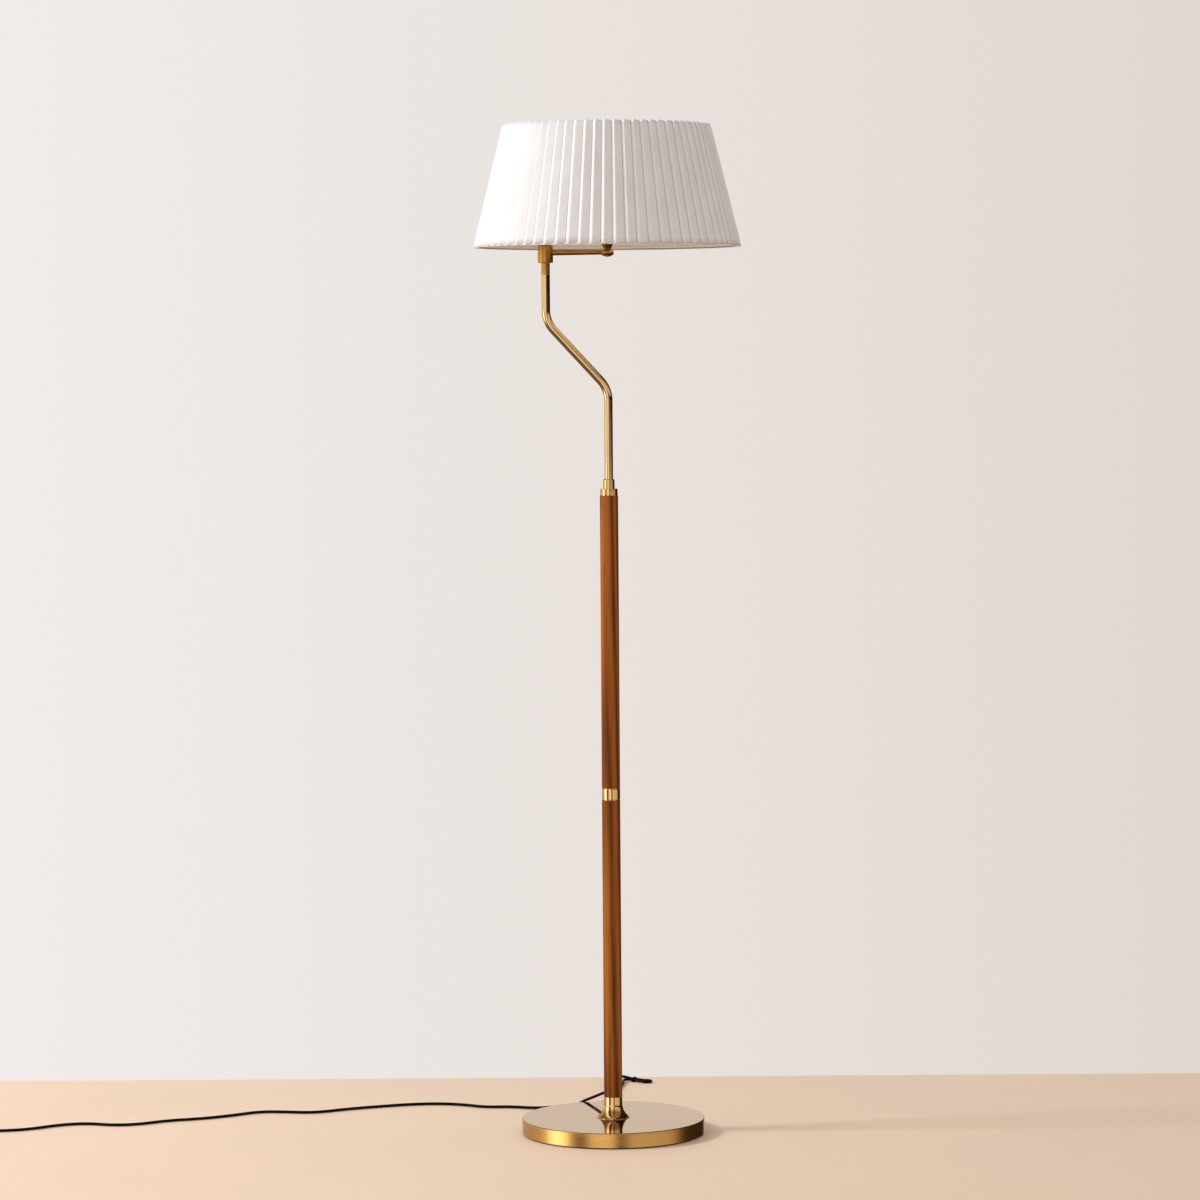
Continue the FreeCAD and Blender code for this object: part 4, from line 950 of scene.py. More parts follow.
@dataclass
class KnifePleats(GeometryRule):
    """A cone of knife pleats: each pleat has a short steep facet and a long flat one."""

    steps: int = 16
    folds: Profile = ((0.0, 0.0), (0.25, 0.97), (0.3125, 1.0), (0.9375, 0.08), (1.0, 0.0))
    shallowest: float = 0.82
    ripple: float = 9.0
    hem: tuple[float, float] = (0.485, 0.5)
    hem_turn_mm: float = 0.6
    sag_reach: float = 0.06

    def lay_out(self, graph: NodeGraph, given: Sockets) -> Socket:
        """Fold a grid into pleats and bend it round a cone.

        Args:
            graph: The tree's nodes.
            given: The sockets Pleats, Rows, Lower radius, Upper radius, Lower level, Upper level, Depth, Sag,
                Unevenness, Waviness, Cloth width, Cloth length and Seed.

        Returns:
            The folded cloth, one layer thick.
        """
        pleats = given["Pleats"]
        columns = graph.math("MULTIPLY", pleats, float(self.steps))
        grid = graph.add("GeometryNodeMeshGrid", 1.0, 1.0, graph.math("ADD", columns, 1.0), given["Rows"])
        spot = graph.position()
        share, rise = (graph.math("ADD", spot[i], 0.5) for i in (0, 1))
        column = graph.math("ROUND", graph.math("MULTIPLY", share, columns))
        count = graph.math("DIVIDE", column, float(self.steps))
        pleat = graph.math("FLOOR", graph.math("ADD", count, 0.001))
        phase = graph.math("SUBTRACT", count, pleat)
        this, after = (graph.math("MODULO", n, pleats) for n in (pleat, graph.math("ADD", pleat, 1.0)))
        least = graph.math("MULTIPLY", given["Unevenness"], -1.0)
        top_seed = graph.math("ADD", given["Seed"], 1.0)
        shifts = [graph.mix(rise, *(self.chance(graph, least, given["Unevenness"], n, seed)
                                    for seed in (given["Seed"], top_seed))) for n in (this, after)]
        shifted = graph.math("ADD", count, graph.mix(phase, *shifts))
        angle = graph.math("MULTIPLY", graph.math("DIVIDE", shifted, pleats), FULL_TURN)
        lifted = graph.math("MULTIPLY", self.fold(graph, phase),
                            self.chance(graph, self.shallowest, 1.0, this, top_seed))
        inner = graph.math("SUBTRACT", 1.0, lifted)
        dent = graph.math("MULTIPLY", inner, given["Depth"])
        noise = graph.add(NOISE, graph.around(angle, None, rise), at={"Scale": self.ripple, "Detail": 1.0})
        sway = graph.span(noise, *NOISE_SPAN, 0.0, given["Waviness"])
        off_middle = graph.math("ABSOLUTE", graph.math("SUBTRACT", rise, 0.5))
        hem = graph.span(off_middle, *self.hem, 0.0, self.hem_turn_mm * MM)
        radius = graph.mix(rise, given["Lower radius"], given["Upper radius"])
        for loss in (dent, sway, hem):
            radius = graph.math("SUBTRACT", radius, loss)
        straight = graph.mix(rise, given["Lower level"], given["Upper level"])
        ends = [graph.span(rise, *reach) for reach in ((self.sag_reach, 0.0, 0.0, 1.0),
                                                       (1 - self.sag_reach, 1.0, 0.0, -1.0))]
        sag = graph.math("MULTIPLY", graph.math("MULTIPLY", inner, given["Sag"]), graph.math("ADD", *ends))
        width = graph.math("MULTIPLY", share, given["Cloth width"])
        drop = graph.math("MULTIPLY", rise, given["Cloth length"])
        cloth = graph.add("ShaderNodeCombineXYZ", width, drop, 0.0)
        mapped = graph.add("GeometryNodeStoreNamedAttribute", grid, at={"Name": "UVMap", "Value": cloth},
                           data_type="FLOAT2", domain="CORNER")
        place = graph.around(angle, radius, graph.math("ADD", straight, sag))
        folded = graph.add("GeometryNodeSetPosition", mapped, at={"Position": place})
        return graph.add("GeometryNodeMergeByDistance", folded, at={"Distance": 0.02 * MM})

    def chance(self, graph: NodeGraph, low: Value, high: Value, pleat: Socket, seed: Socket) -> Socket:
        """Return a random number for each pleat."""
        return graph.add("FunctionNodeRandomValue", at={2: low, 3: high, 7: pleat, 8: seed}, out=1,
                         data_type="FLOAT")

    def fold(self, graph: NodeGraph, phase: Socket) -> Socket:
        """Return how far out the cloth lies at a phase of its pleat, from 0 to 1.

        Args:
            graph: The rule's nodes.
            phase: How far round its pleat the place lies, from 0 to 1.

        Returns:
            The distance.
        """
        fold = graph.add("ShaderNodeFloatCurve", 1.0, phase)
        curve = fold.node.mapping.curves[0]
        for x, y in self.folds[1:-1]:
            curve.points.new(x, y)
        curve.points[len(curve.points) - 1].location = self.folds[-1]
        for point in curve.points:
            point.handle_type = "VECTOR"
        fold.node.mapping.update()
        return fold


# ----------------------------------------------------------------------------------------------------------
# Sub-assemblies
# ----------------------------------------------------------------------------------------------------------


@dataclass
class SubAssembly:
    """A group of pieces that is built and dressed together."""

    frame: dict
    body: Body = Body.STAND

    def fit(self, piece: Piece, finish: Finish, *nodes: str, body: Body | None = None) -> Piece:
        """Let a finished piece ride on its body and stand for its solids.

        Args:
            piece: The piece, at the origin.
            finish: Not used.
            nodes: The solids that it stands for.
            body: Another body than the sub-assembly's own.

        Returns:
            The piece.
        """
        rides = body or self.body
        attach(piece, rides.value)
        if nodes:
            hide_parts(*nodes)
        LOG.info("%s: %s rides on %s for %s", type(self).__name__, piece.name, rides.value,
                 ", ".join(nodes) or "-")
        return piece

    def dress(self, finish: Finish, *nodes: str) -> None:
        """Give solids that keep their own mesh a finish.

        Args:
            finish: The finish.
            nodes: The solids' node names.
        """
        for node in nodes:
            materials = self.frame["nodes"][node].data.materials
            materials.clear()
            materials.append(finish.material())
            LOG.info("%s: %s dressed in %s", type(self).__name__, node, finish.label)

    def refine(self, finish: Finish, *nodes: str, edge_mm: float = 0.2, body: Body | None = None) -> None:
        """Replace solids by smoothly shaded copies with rounded edges."""
        for node in nodes:
            self.fit(refined(self.frame, node, finish, edge_mm), finish, node, body=body)


@dataclass
class Foot(SubAssembly):
    """The weighted disc: foam pad, iron weight, spun brass cover and the flared collar on it."""

    radius: float = 140.0
    top: float = 24.0
    bore: float = 6.0
    wall: float = 1.2
    lift: float = 1.5
    edge: float = 1.5
    mirror_edge: float = 0.6
    mirror_slope: float = 0.75
    pad: Profile = ((0, 0), (137, 0), (137, 2), (0, 2))
    flare: float = 25.6
    flare_edge: float = 0.8
    neck: float = 14.0
    sweep: float = 27.0
    neck_level: float = 46.0
    collar_top: float = 56.0
    collar_bore: float = 5.3
    spigot: tuple[float, float] = (8.0, 15.0)

    def build(self) -> None:
        """Build the foot's pieces."""
        self.dress(CAST_IRON, "base_weight")
        self.dress(ZINC_STEEL, "base_washer", "base_nut", "tie_rod")
        self.fit(turned("foam_pad", self.pad, FOAM, segments=192), FOAM, "base_pad")
        self.fit(self.cover(), BRUSHED_BRASS, "base_shell")
        self.fit(self.collar(), POLISHED_BRASS, "flare_collar")

    def cover(self) -> Piece:
        """Make the spun cover, brushed on its rim and mirror-polished on top.

        Returns:
            The cover.
        """
        outer, inner, low = self.radius, self.radius - self.wall, self.top - self.wall
        outline = [(self.bore, low), (inner, low), (inner, self.lift), (outer, self.lift)]
        outline += arc((outer - self.edge, self.top - self.edge), self.edge, 0, 90, 8)
        outline += [(outer - self.edge - self.mirror_edge, self.top), (self.bore, self.top)]
        cover = turned("disc_cover", outline, BRUSHED_BRASS, segments=256, edge=0.3)
        cover.data.materials.append(MIRROR_BRASS.material())
        for face in cover.data.polygons:
            if face.normal.z > self.mirror_slope and face.center.z > (self.top - self.mirror_edge) * MM:
                face.material_index = 1
        return cover

    def collar(self) -> Piece:
        """Make the flared collar that carries the column.

        Returns:
            The collar.
        """
        start = self.top + self.flare_edge
        centre = (self.neck + self.sweep, self.neck_level)
        angle = math.degrees(math.asin((self.neck_level - start) / self.sweep))
        spigot, rise = self.spigot
        outline = [(self.collar_bore, self.top), (self.flare, self.top), (self.flare, start)]
        outline += arc(centre, self.sweep, 180 + angle, 180, 28)
        outline += raised(((self.neck, 0), (spigot, 0), (spigot, rise), (self.collar_bore, rise)),
                          self.collar_top)
        return turned("flared_collar", outline, POLISHED_BRASS)


@dataclass
class Column(SubAssembly):
    """The turned wooden column with its brass rings and the collar that clamps the tube."""

    radius: float = 14.0
    levels: tuple[float, float, float, float, float] = (56.0, 514.0, 532.0, 980.0, 990.0)
    bore: float = 6.0
    groove: tuple[float, float] = (1.2, 0.7)
    cap_radius: float = 13.4
    clamp: Profile = ((5.2, 0), (8.8, 0), (8.8, 13.8), (7.6, 15), (6.6, 15), (6.6, 7), (5.2, 7))

    def build(self) -> None:
        """Build the column's pieces."""
        foot, low, high, top, cap = self.levels
        for name, start, end in (("lower_column", foot, low), ("upper_column", high, top)):
            dowel = turned(name + "_dowel", self.tube(self.radius, start, end), WOOD, edge=0.5)
            self.fit(dowel, WOOD, name)
        height, depth = self.groove
        neck = self.radius - depth
        ring = [(self.bore, low), (neck, low), (neck, low + height), (self.radius, low + height),
                (self.radius, high - height), (neck, high - height), (neck, high), (self.bore, high)]
        self.fit(turned("grooved_ring", ring, POLISHED_BRASS, edge=0.2), POLISHED_BRASS, "middle_ring")
        lid = turned("column_cap", self.tube(self.cap_radius, top, cap), POLISHED_BRASS, edge=0.5)
        self.fit(lid, POLISHED_BRASS, "cap_ring")
        clamp = turned("clamp_collar", raised(self.clamp, cap), POLISHED_BRASS, segments=128, edge=0.2)
        self.fit(clamp, POLISHED_BRASS, "tube_collar")
        self.dress(ZINC_STEEL, "collar_screw")
        self.dress(CORD_PVC, "stand_lead")

    def tube(self, radius: float, low: float, high: float) -> Outline:
        """Return the outline of a plain bored length."""
        return [(self.bore, low), (radius, low), (radius, high), (self.bore, high)]


@dataclass
class CrankedTube(SubAssembly):
    """The polished tube with its two bends, and the pivot stem pressed into its end."""

    radius: float = 6.5
    offset: float = 94.0
    levels: tuple[float, float, float, float] = (997.0, 1142.4, 1244.8, 1316.0)
    bend: float = 45.0
    stem: Profile = ((2.6, 0), (6.5, 0), (6.5, 17.7), (5, 17.7), (5, 27.2), (2.6, 27.2))

    def build(self) -> None:
        """Build the tube and the stem."""
        start, low, high, end = self.levels
        path = bent([(0, 0, start), (0, 0, low), (-self.offset, 0, high), (-self.offset, 0, end)], self.bend)
        self.fit(swept("cranked_tube", path, self.radius, DRAWN_BRASS, sides=96), DRAWN_BRASS, "bent_tube")
        stem = turned("stem_sleeve", raised(self.stem, end), KNUCKLE_BRASS_DARKENED_AS_SHADE, (-self.offset, 0, 0), segments=96,
                      edge=0.35)
        self.fit(stem, KNUCKLE_BRASS_DARKENED_AS_SHADE, "pivot_stem")
        self.dress(NYLON, "slip_washer")
        self.dress(ZINC_STEEL, "keeper_nut")


@dataclass
class PivotArm(SubAssembly):
    """The knuckle, the arm and the hub that carries the lampholder."""

    body: Body = Body.ARM

    def build(self) -> None:
        """Build the arm's pieces."""
        self.refine(KNUCKLE_BRASS_DARKENED_AS_SHADE, "knuckle_body", "knuckle_cap", edge_mm=0.3)
        self.refine(SATIN_BRASS_DARKENED_AS_SHADE, "arm_tube", "arm_hub", "hub_screw", edge_mm=0.0)
        self.dress(ZINC_STEEL, "head_nipple")
        self.dress(CORD_PVC, "arm_lead")


@dataclass
class Lampholder(SubAssembly):
    """The brass cup, the lampholder with its rotary switch, and the bulb."""

    body: Body = Body.ARM
    switch_level: float = 1382.0
    knob_back: float = 23.5
    knob_outline: Profile = ((2.55, 0), (5.8, 0), (6.5, 1.2), (6.5, 10.6), (5.6, 11.6), (3.8, 12), (0, 11.4),
                             (0, 9.5), (2.55, 9.5))
    ribs: int = 24
    rib_circle: float = 6.4
    rib_size: Point = (0.55, 0.55, 4.4)
    rib_middle: float = 5.9
    shell: ThreadSizes = ThreadSizes(radius=13.85, base=1390.2, height=23.6, depth=0.5)
    shell_wall: float = 0.35
    cap: ThreadSizes = ThreadSizes(radius=13.0, base=1394.5, height=21.0, depth=0.8)
    cap_wall: float = 0.3
    contact: Profile = ((0, 1390.3), (3, 1390.3), (4.4, 1391), (4.6, 1392), (11.6, 1394.6), (11.6, 1395.2),
                        (0, 1395.2))
    bulb_centre: float = 1469.8
    bulb_radius: float = 30.0
    bulb_wall: float = 1.0
    bulb_foot: float = 1415.8
    bulb_shoulder: Profile = ((13.3, 0), (13.3, 4), (14.2, 11), (17.2, 19), (22.0, 28))
    bulb_join: float = 36.0

    def build(self) -> None:
        """Build the lampholder, its switch and the bulb."""
        self.refine(SATIN_BRASS_DARKENED_AS_SHADE, "lampholder_cup")
        self.refine(MOULDED_BLACK, "lampholder_base", "lampholder_sleeve", "clamp_ring", edge_mm=0.3)
        self.refine(STEATITE, "contact_block", edge_mm=0.3)
        self.refine(PRESSED_BRASS, "switch_barrel", edge_mm=0.15)
        self.refine(ZINC_STEEL, "switch_spindle", body=Body.SWITCH)
        self.fit(self.knob(), MOULDED_BLACK, "switch_knob", body=Body.SWITCH)
        self.fit(self.screw_shell(), PRESSED_BRASS, "screw_shell")
        self.fit(self.bulb_cap(), NICKEL, "bulb_cap")
        self.fit(self.bulb(), FROSTED_GLASS, "bulb_glass")

    def knob(self) -> Piece:
        """Make the ribbed knob, with the ribs set by a Geometry Nodes ring.

        Returns:
            The knob.
        """
        centre = (0.0, -self.knob_back, self.switch_level)
        body = turned("knob_body", self.knob_outline, MOULDED_BLACK, centre, Axis.FRONT, segments=72,
                      edge=0.3)
        ribs = RingOfParts("knob_ribs", {"Count": self.ribs, "Radius": self.rib_circle * MM}, part=Unit.ROD,
                           scale=self.rib_size, axis=Axis.FRONT,
                           centre=(0.0, -self.knob_back - self.rib_middle, self.switch_level))
        return joined("ribbed_knob", [body, ribs.grown(MOULDED_BLACK)])

    def screw_shell(self) -> Piece:
        """Make the pressed screw shell in the lampholder."""
        thread = RolledThread("shell_thread", self.shell.inputs()).grown(PRESSED_BRASS)
        return walled(thread, "threaded_screw_shell", self.shell_wall)

    def bulb_cap(self) -> Piece:
        """Make the bulb's screw cap with its insulator and contact.

        Returns:
            The cap.
        """
        thread = RolledThread("cap_thread", self.cap.inputs()).grown(NICKEL)
        skirt = walled(thread, "cap_skirt", self.cap_wall)
        contact = turned("cap_contact", self.contact, NICKEL, segments=64, edge=0.2)
        return joined("threaded_bulb_cap", [skirt, contact])

    def bulb(self) -> Piece:
        """Make the hollow frosted bulb.

        Returns:
            The glass.
        """
        centre, radius, hollow = self.bulb_centre, self.bulb_radius, self.bulb_radius - self.bulb_wall
        shoulder = raised(self.bulb_shoulder, self.bulb_foot)
        drop = self.bulb_foot + self.bulb_join - centre
        join = math.degrees(math.atan2(drop, math.sqrt(radius ** 2 - drop ** 2)))
        outer = shoulder + arc((0, centre), radius, join, 90, 28)[:-1] + [(0, centre + radius)]
        inner = [(0, centre + hollow)] + arc((0, centre), hollow, 90, join, 28)[1:]
        inner += [(r - self.bulb_wall, z) for r, z in reversed(shoulder)]
        return turned("frosted_bulb", outer + inner, FROSTED_GLASS, segments=96, edge=0.0)


@dataclass
class Shade(SubAssembly):
    """The pleated shade: cover, liner, wire rings, fitter, and the bound and stitched edges."""

    body: Body = Body.ARM
    low: float = 1358.0
    high: float = 1543.0
    low_radius: float = 204.2
    high_radius: float = 158.2
    pleats: int = 70
    rows: int = 17
    depth: float = 2.9
    sag: float = 2.0
    unevenness: float = 0.09
    waviness: float = 0.25
    seed: int = 7
    fold_deg: float = 24.0
    cloth: float = 0.4
    tape: tuple[float, float] = (8.0, 0.6)
    low_inset: float = 0.6
    high_inset: float = 3.1
    high_drop: float = 2.2
    seams: tuple[float, float] = (-0.1, 183.5)
    stitch_pitch: float = 5.5
    stitch_size: Point = (0.35, 1.7, 0.22)
    card_radii: tuple[float, float] = (200.8, 154.8)
    card: float = 0.6

    def build(self) -> None:
        """Build the shade's pieces."""
        cover = self.cover()
        low_tape = self.binding("lower_binding", self.low_radius, self.low_inset, self.low - self.tape[1],
                                self.seams[0])
        high_tape = self.binding("upper_binding", self.high_radius, self.high_inset,
                                 self.high - self.high_drop, self.seams[1])
        self.fit(cover, PLEATED_COTTON, "pleated_cover")
        self.fit(low_tape, PLEATED_COTTON, "bottom_binding")
        self.fit(high_tape, PLEATED_COTTON, "top_binding")
        self.fit(self.liner(), CARD, "shade_liner")
        self.refine(POWDER_COAT, "shade_fitter", "bottom_ring", "top_ring", edge_mm=0.0)

    def slant(self) -> float:
        """Return the cloth's length from edge to edge, in metres."""
        return math.hypot(self.high - self.low, self.low_radius - self.high_radius) * MM

    def unfolded(self, radius: float) -> float:
        """Return the cloth's length round the shade at a radius, with the folds laid flat, in metres."""
        pitch = FULL_TURN * radius / self.pleats
        return self.pleats * (math.hypot(pitch / 3, self.depth) + math.hypot(pitch * 2 / 3, self.depth)) * MM

    def cover(self) -> Piece:
        """Make the pleated cloth with Geometry Nodes and give it its thickness.

        Returns:
            The cloth.
        """
        rule = KnifePleats("knife_pleats",
                           {"Pleats": self.pleats, "Rows": self.rows, "Lower radius": self.low_radius * MM,
                            "Upper radius": self.high_radius * MM, "Lower level": self.low * MM,
                            "Upper level": self.high * MM, "Depth": self.depth * MM, "Sag": self.sag * MM,
                            "Unevenness": self.unevenness, "Waviness": self.waviness * MM,
                            "Cloth width": self.unfolded(self.low_radius), "Cloth length": self.slant(),
                            "Seed": self.seed})
        form = rule.grown(PLEATED_COTTON)
        form.data.set_sharp_from_angle(angle=math.radians(self.fold_deg))
        return walled(form, "pleated_cloth", self.cloth)

    def binding(self, name: str, edge: float, inset: float, level: float, seam: float) -> Piece:
        """Make one flat binding tape with its row of stitches.

        Args:
            name: The piece's name.
            edge: The shade's radius at this edge.
            inset: How far inside it the tape ends.
            level: The tape's lower face.
            seam: The stitches' height above the shade's lower edge.

        Returns:
            The tape with its stitches.
        """
        width, height = self.tape
        outer, inner = edge - inset, edge - width
        outline = [(inner, level), (outer, level), (outer, level + height), (inner, level + height)]
        tape = turned(name + "_tape", outline, THREAD, segments=256, edge=0.2)
        middle = (inner + outer) / 2
        count = round(FULL_TURN * middle / self.stitch_pitch)
        stitches = RingOfParts(name + "_stitches", {"Count": count, "Radius": middle * MM},
                               scale=self.stitch_size, centre=(0.0, 0.0, self.low + seam))
        return joined(name, [tape, stitches.grown(THREAD)])

    def liner(self) -> Piece:
        """Make the stiff card behind the pleats.

        Returns:
            The card.
        """
        (low_radius, high_radius), top = self.card_radii, self.high - self.high_drop
        outline = [(low_radius - self.card, self.low), (low_radius, self.low), (high_radius, top),
                   (high_radius - self.card, top)]
        return turned("card_liner", outline, CARD, segments=256, edge=0.1)


@dataclass
class CordSet(SubAssembly):
    """The mains cord from its bushing to the put-away coil, with its tie and plug."""

    diameter: float = 4.5
    length: float = 2.37
    coil_centre: tuple[float, float] = (-1008.0, 8.0)
    coil_radii: tuple[float, float] = (27.0, 22.5)
    coil_levels: tuple[float, float] = (2.4, 6.9)
    turns: float = 3.25
    per_turn: int = 16
    moves_in: float = 0.7
    move: float = 0.3
    spline_pull: float = 0.981
    plug_tip: Point = (-1035.0, -3.0, 6.9)
    plug_lead: float = 5.5
    grip_ribs: int = 6
    grip_step: float = 3.0
    grip_span: float = 13.2
    grip_size: Point = (6.5, 0.8, 0.3)
    grip_start: Point = (-1035.0, -27.0, 0.3)
    bushing_span: tuple[float, float] = (14.1, 42.1)
    bushing_radii: tuple[float, float] = (4.5, 3.0)
    bushing_bore: float = 2.3
    bushing_spigot: tuple[float, float] = (3.2, 5.6)
    grooves: int = 6
    groove_start: float = 3.0
    groove_step: float = 3.9
    groove: Profile = ((0.0, 0.0), (0.75, 0.4), (0.8, 1.3), (0.12, 1.7))
    route: tuple[Point, ...] = (
        (0, 42.1, 50), (0, 61, 50), (-2, 80, 50.4), (-6, 98, 48), (-14, 113, 42), (-26, 125, 35),
        (-38.5, 134.5, 28.4), (-50, 142.5, 22.3), (-58, 154, 12.5), (-60, 170, 4.3), (-54, 187, 2.4),
        (-38, 202, 2.4), (-20, 216, 2.4), (-5, 238, 2.4), (3, 274, 2.4), (7, 318, 2.4), (8, 364, 2.4),
        (12.6, 399, 2.4), (15.6, 421.5, 2.6), (16.6, 433, 3), (17.4, 442, 3.4), (18.2, 448.2, 3.8),
        (22, 452.7, 3.8), (27.3, 453.2, 3.8), (34, 449.7, 3.8), (40, 446.4, 3.4), (46, 441, 2.8),
        (51.4, 436, 2.4), (57.8, 436, 2.4), (62.2, 440.4, 2.4), (62.2, 446.8, 2.4), (57.8, 451.2, 2.4),
        (50, 451, 2.4), (41.5, 452.9, 3.8), (31.6, 458.2, 3.8), (22.7, 461.6, 6), (9.7, 462.3, 8.2),
        (-3, 456.1, 8.2), (-10.5, 444.5, 6.4), (-12.5, 428, 4.2), (-8.5, 396, 2.4), (-7, 355, 2.4),
        (-6, 312, 2.4), (-4, 267, 2.4), (-25, 238, 2.4), (-58, 224, 2.4), (-92, 212, 2.4), (-122, 201, 2.4),
        (-163, 217, 2.4), (-204, 214, 2.4), (-236, 236, 2.4), (-276, 249, 2.4), (-328, 243, 2.4),
        (-380, 223, 2.4), (-424, 204, 2.4), (-472, 174, 2.4), (-520, 184, 2.4), (-560, 187, 2.4),
        (-604, 152, 2.4), (-650, 127, 2.4), (-698, 114, 2.4), (-742, 82, 2.4), (-782, 78, 2.4),
        (-820, 95, 2.4), (-862, 84, 2.4), (-906, 47, 2.4), (-946, 36, 2.4), (-981, 37, 2.4), (-1008, 35, 2.4))

    def build(self) -> None:
        """Build the cord and everything on it."""
        cord = self.cord()
        self.fit(cord, CORD_PVC, "cord", "cord_coil")
        self.refine(TIE_PVC, "cord_tie", edge_mm=0.3)
        self.refine(NICKEL, "plug_pins", edge_mm=0.4)
        self.fit(self.plug(), MOULDED_BLACK, "plug_body")
        self.fit(self.bushing(), MOULDED_BLACK, "cord_bushing")

    def coil(self) -> list[Point]:
        """Wind the put-away length: an outer and an inner turn on the floor, then one turn on top of them.

        Returns:
            The coil's points after the route's last one, up to the plug.
        """
        outer, inner = self.coil_radii
        low, high = self.coil_levels
        across = outer - inner

        def lower_radius(turn: float) -> float:
            """Return the radius on the floor, where the outer turn moves in to the inner one."""
            t = min(max((turn - self.moves_in) / self.move, 0.0), 1.0)
            return outer - across * t * t * (3 - 2 * t)

        def level(turn: float) -> float:
            """Return the height, which climbs over the place where the turns moved in.

            Args:
                turn: How many turns are wound by then.

            Returns:
                The height above the floor.
            """
            if turn < 1 + self.moves_in:
                return low
            side = lower_radius(turn - 1) - inner
            return low + math.sqrt(max(0.0, (high - low) ** 2 - side * side))

        def radius(turn: float) -> float:
            """Return the radius, which moves out again past the climbing turn.

            Args:
                turn: How many turns are wound by then.

            Returns:
                The distance from the coil's middle.
            """
            if turn < 2 + self.moves_in:
                return lower_radius(turn)
            gap = high - level(min(turn, 3.0) - 1)
            return inner + math.sqrt(max(0.0, across ** 2 - gap * gap))

        points = []
        middle_x, middle_y = self.coil_centre
        for i in range(1, round(self.turns * self.per_turn) + 1):
            turn = i / self.per_turn
            angle = math.pi / 2 + turn * FULL_TURN
            reach = radius(turn) / self.spline_pull
            points.append((middle_x + reach * math.cos(angle), middle_y + reach * math.sin(angle),
                           level(turn)))
        x, y, z = self.plug_tip
        points[-1] = (x, middle_y, z)
        return points + [(x, y + self.plug_lead, z), (x, y, z)]

    def cord(self) -> Piece:
        """Make the cord as one smooth spline.

        Returns:
            The curve object.
        """
        points = list(self.route) + self.coil()
        data = bpy.data.curves.new("mains_cord", "CURVE")
        data.dimensions = "3D"
        spline = data.splines.new("NURBS")
        spline.points.add(len(points) - 1)
        for slot, place in zip(spline.points, points):
            slot.co = (*metres(place), 1.0)
        spline.order_u, spline.resolution_u = 3, 6
        spline.use_endpoint_u = True
        data.bevel_depth = self.diameter / 2 * MM
        data.bevel_resolution = 5
        data.use_fill_caps = True
        data.materials.append(CORD_PVC.material())
        return placed("mains_cord", data)

    def plug(self) -> Piece:
        """Make the flat plug with grip ribs on its two broad faces.

        Returns:
            The plug's body.
        """
        body = refined(self.frame, "plug_body", MOULDED_BLACK, 0.5)
        inputs = {"Count": self.grip_ribs, "Step": -self.grip_step * MM, "Span": self.grip_span * MM}
        ribs = RowsOfRibs("plug_ribs", inputs, scale=self.grip_size, centre=self.grip_start)
        return joined("gripped_plug", [body, ribs.grown(MOULDED_BLACK)])

    def bushing(self) -> Piece:
        """Make the tapered bushing with its flexing grooves, from the collar's wall outwards.

        Returns:
            The bushing.
        """
        (start, tip), (root, end), bore = self.bushing_span, self.bushing_radii, self.bushing_bore
        spigot, inside = self.bushing_spigot
        outline = [(bore, inside), (spigot, inside), (spigot, start), (root, start)]
        for i in range(self.grooves):
            at = start + self.groove_start + i * self.groove_step
            wide = root + (end - root) * (at - start) / (tip - start)
            outline += [(wide - depth, at + along) for depth, along in self.groove]
        outline += [(end, tip), (bore, tip)]
        return turned("grooved_bushing", outline, MOULDED_BLACK, (0.0, 0.0, self.route[0][2]), Axis.BACK,
                      segments=48, edge=0.15)


# ----------------------------------------------------------------------------------------------------------
# Studio
# ----------------------------------------------------------------------------------------------------------


@dataclass(frozen=True)
class SoftLight:
    """A rectangular light that neither the camera nor the brass sees, in metres and watts."""

    name: str
    place: Point
    aim: Point
    size: tuple[float, float]
    power: float
    colour: str

    def hang(self) -> None:
        """Hang the light and turn it to its aim."""
        lamp = bpy.data.lights.new(self.name, "AREA")
        lamp.shape = "RECTANGLE"
        lamp.size, lamp.size_y = self.size
        lamp.energy = self.power
        lamp.color = linear(self.colour)[:3]
        holder = placed(self.name, lamp)
        holder.location = self.place
        holder.rotation_euler = (Vector(self.aim) - Vector(self.place)).to_track_quat("-Z", "Y").to_euler()
        holder.visible_camera = holder.visible_glossy = False


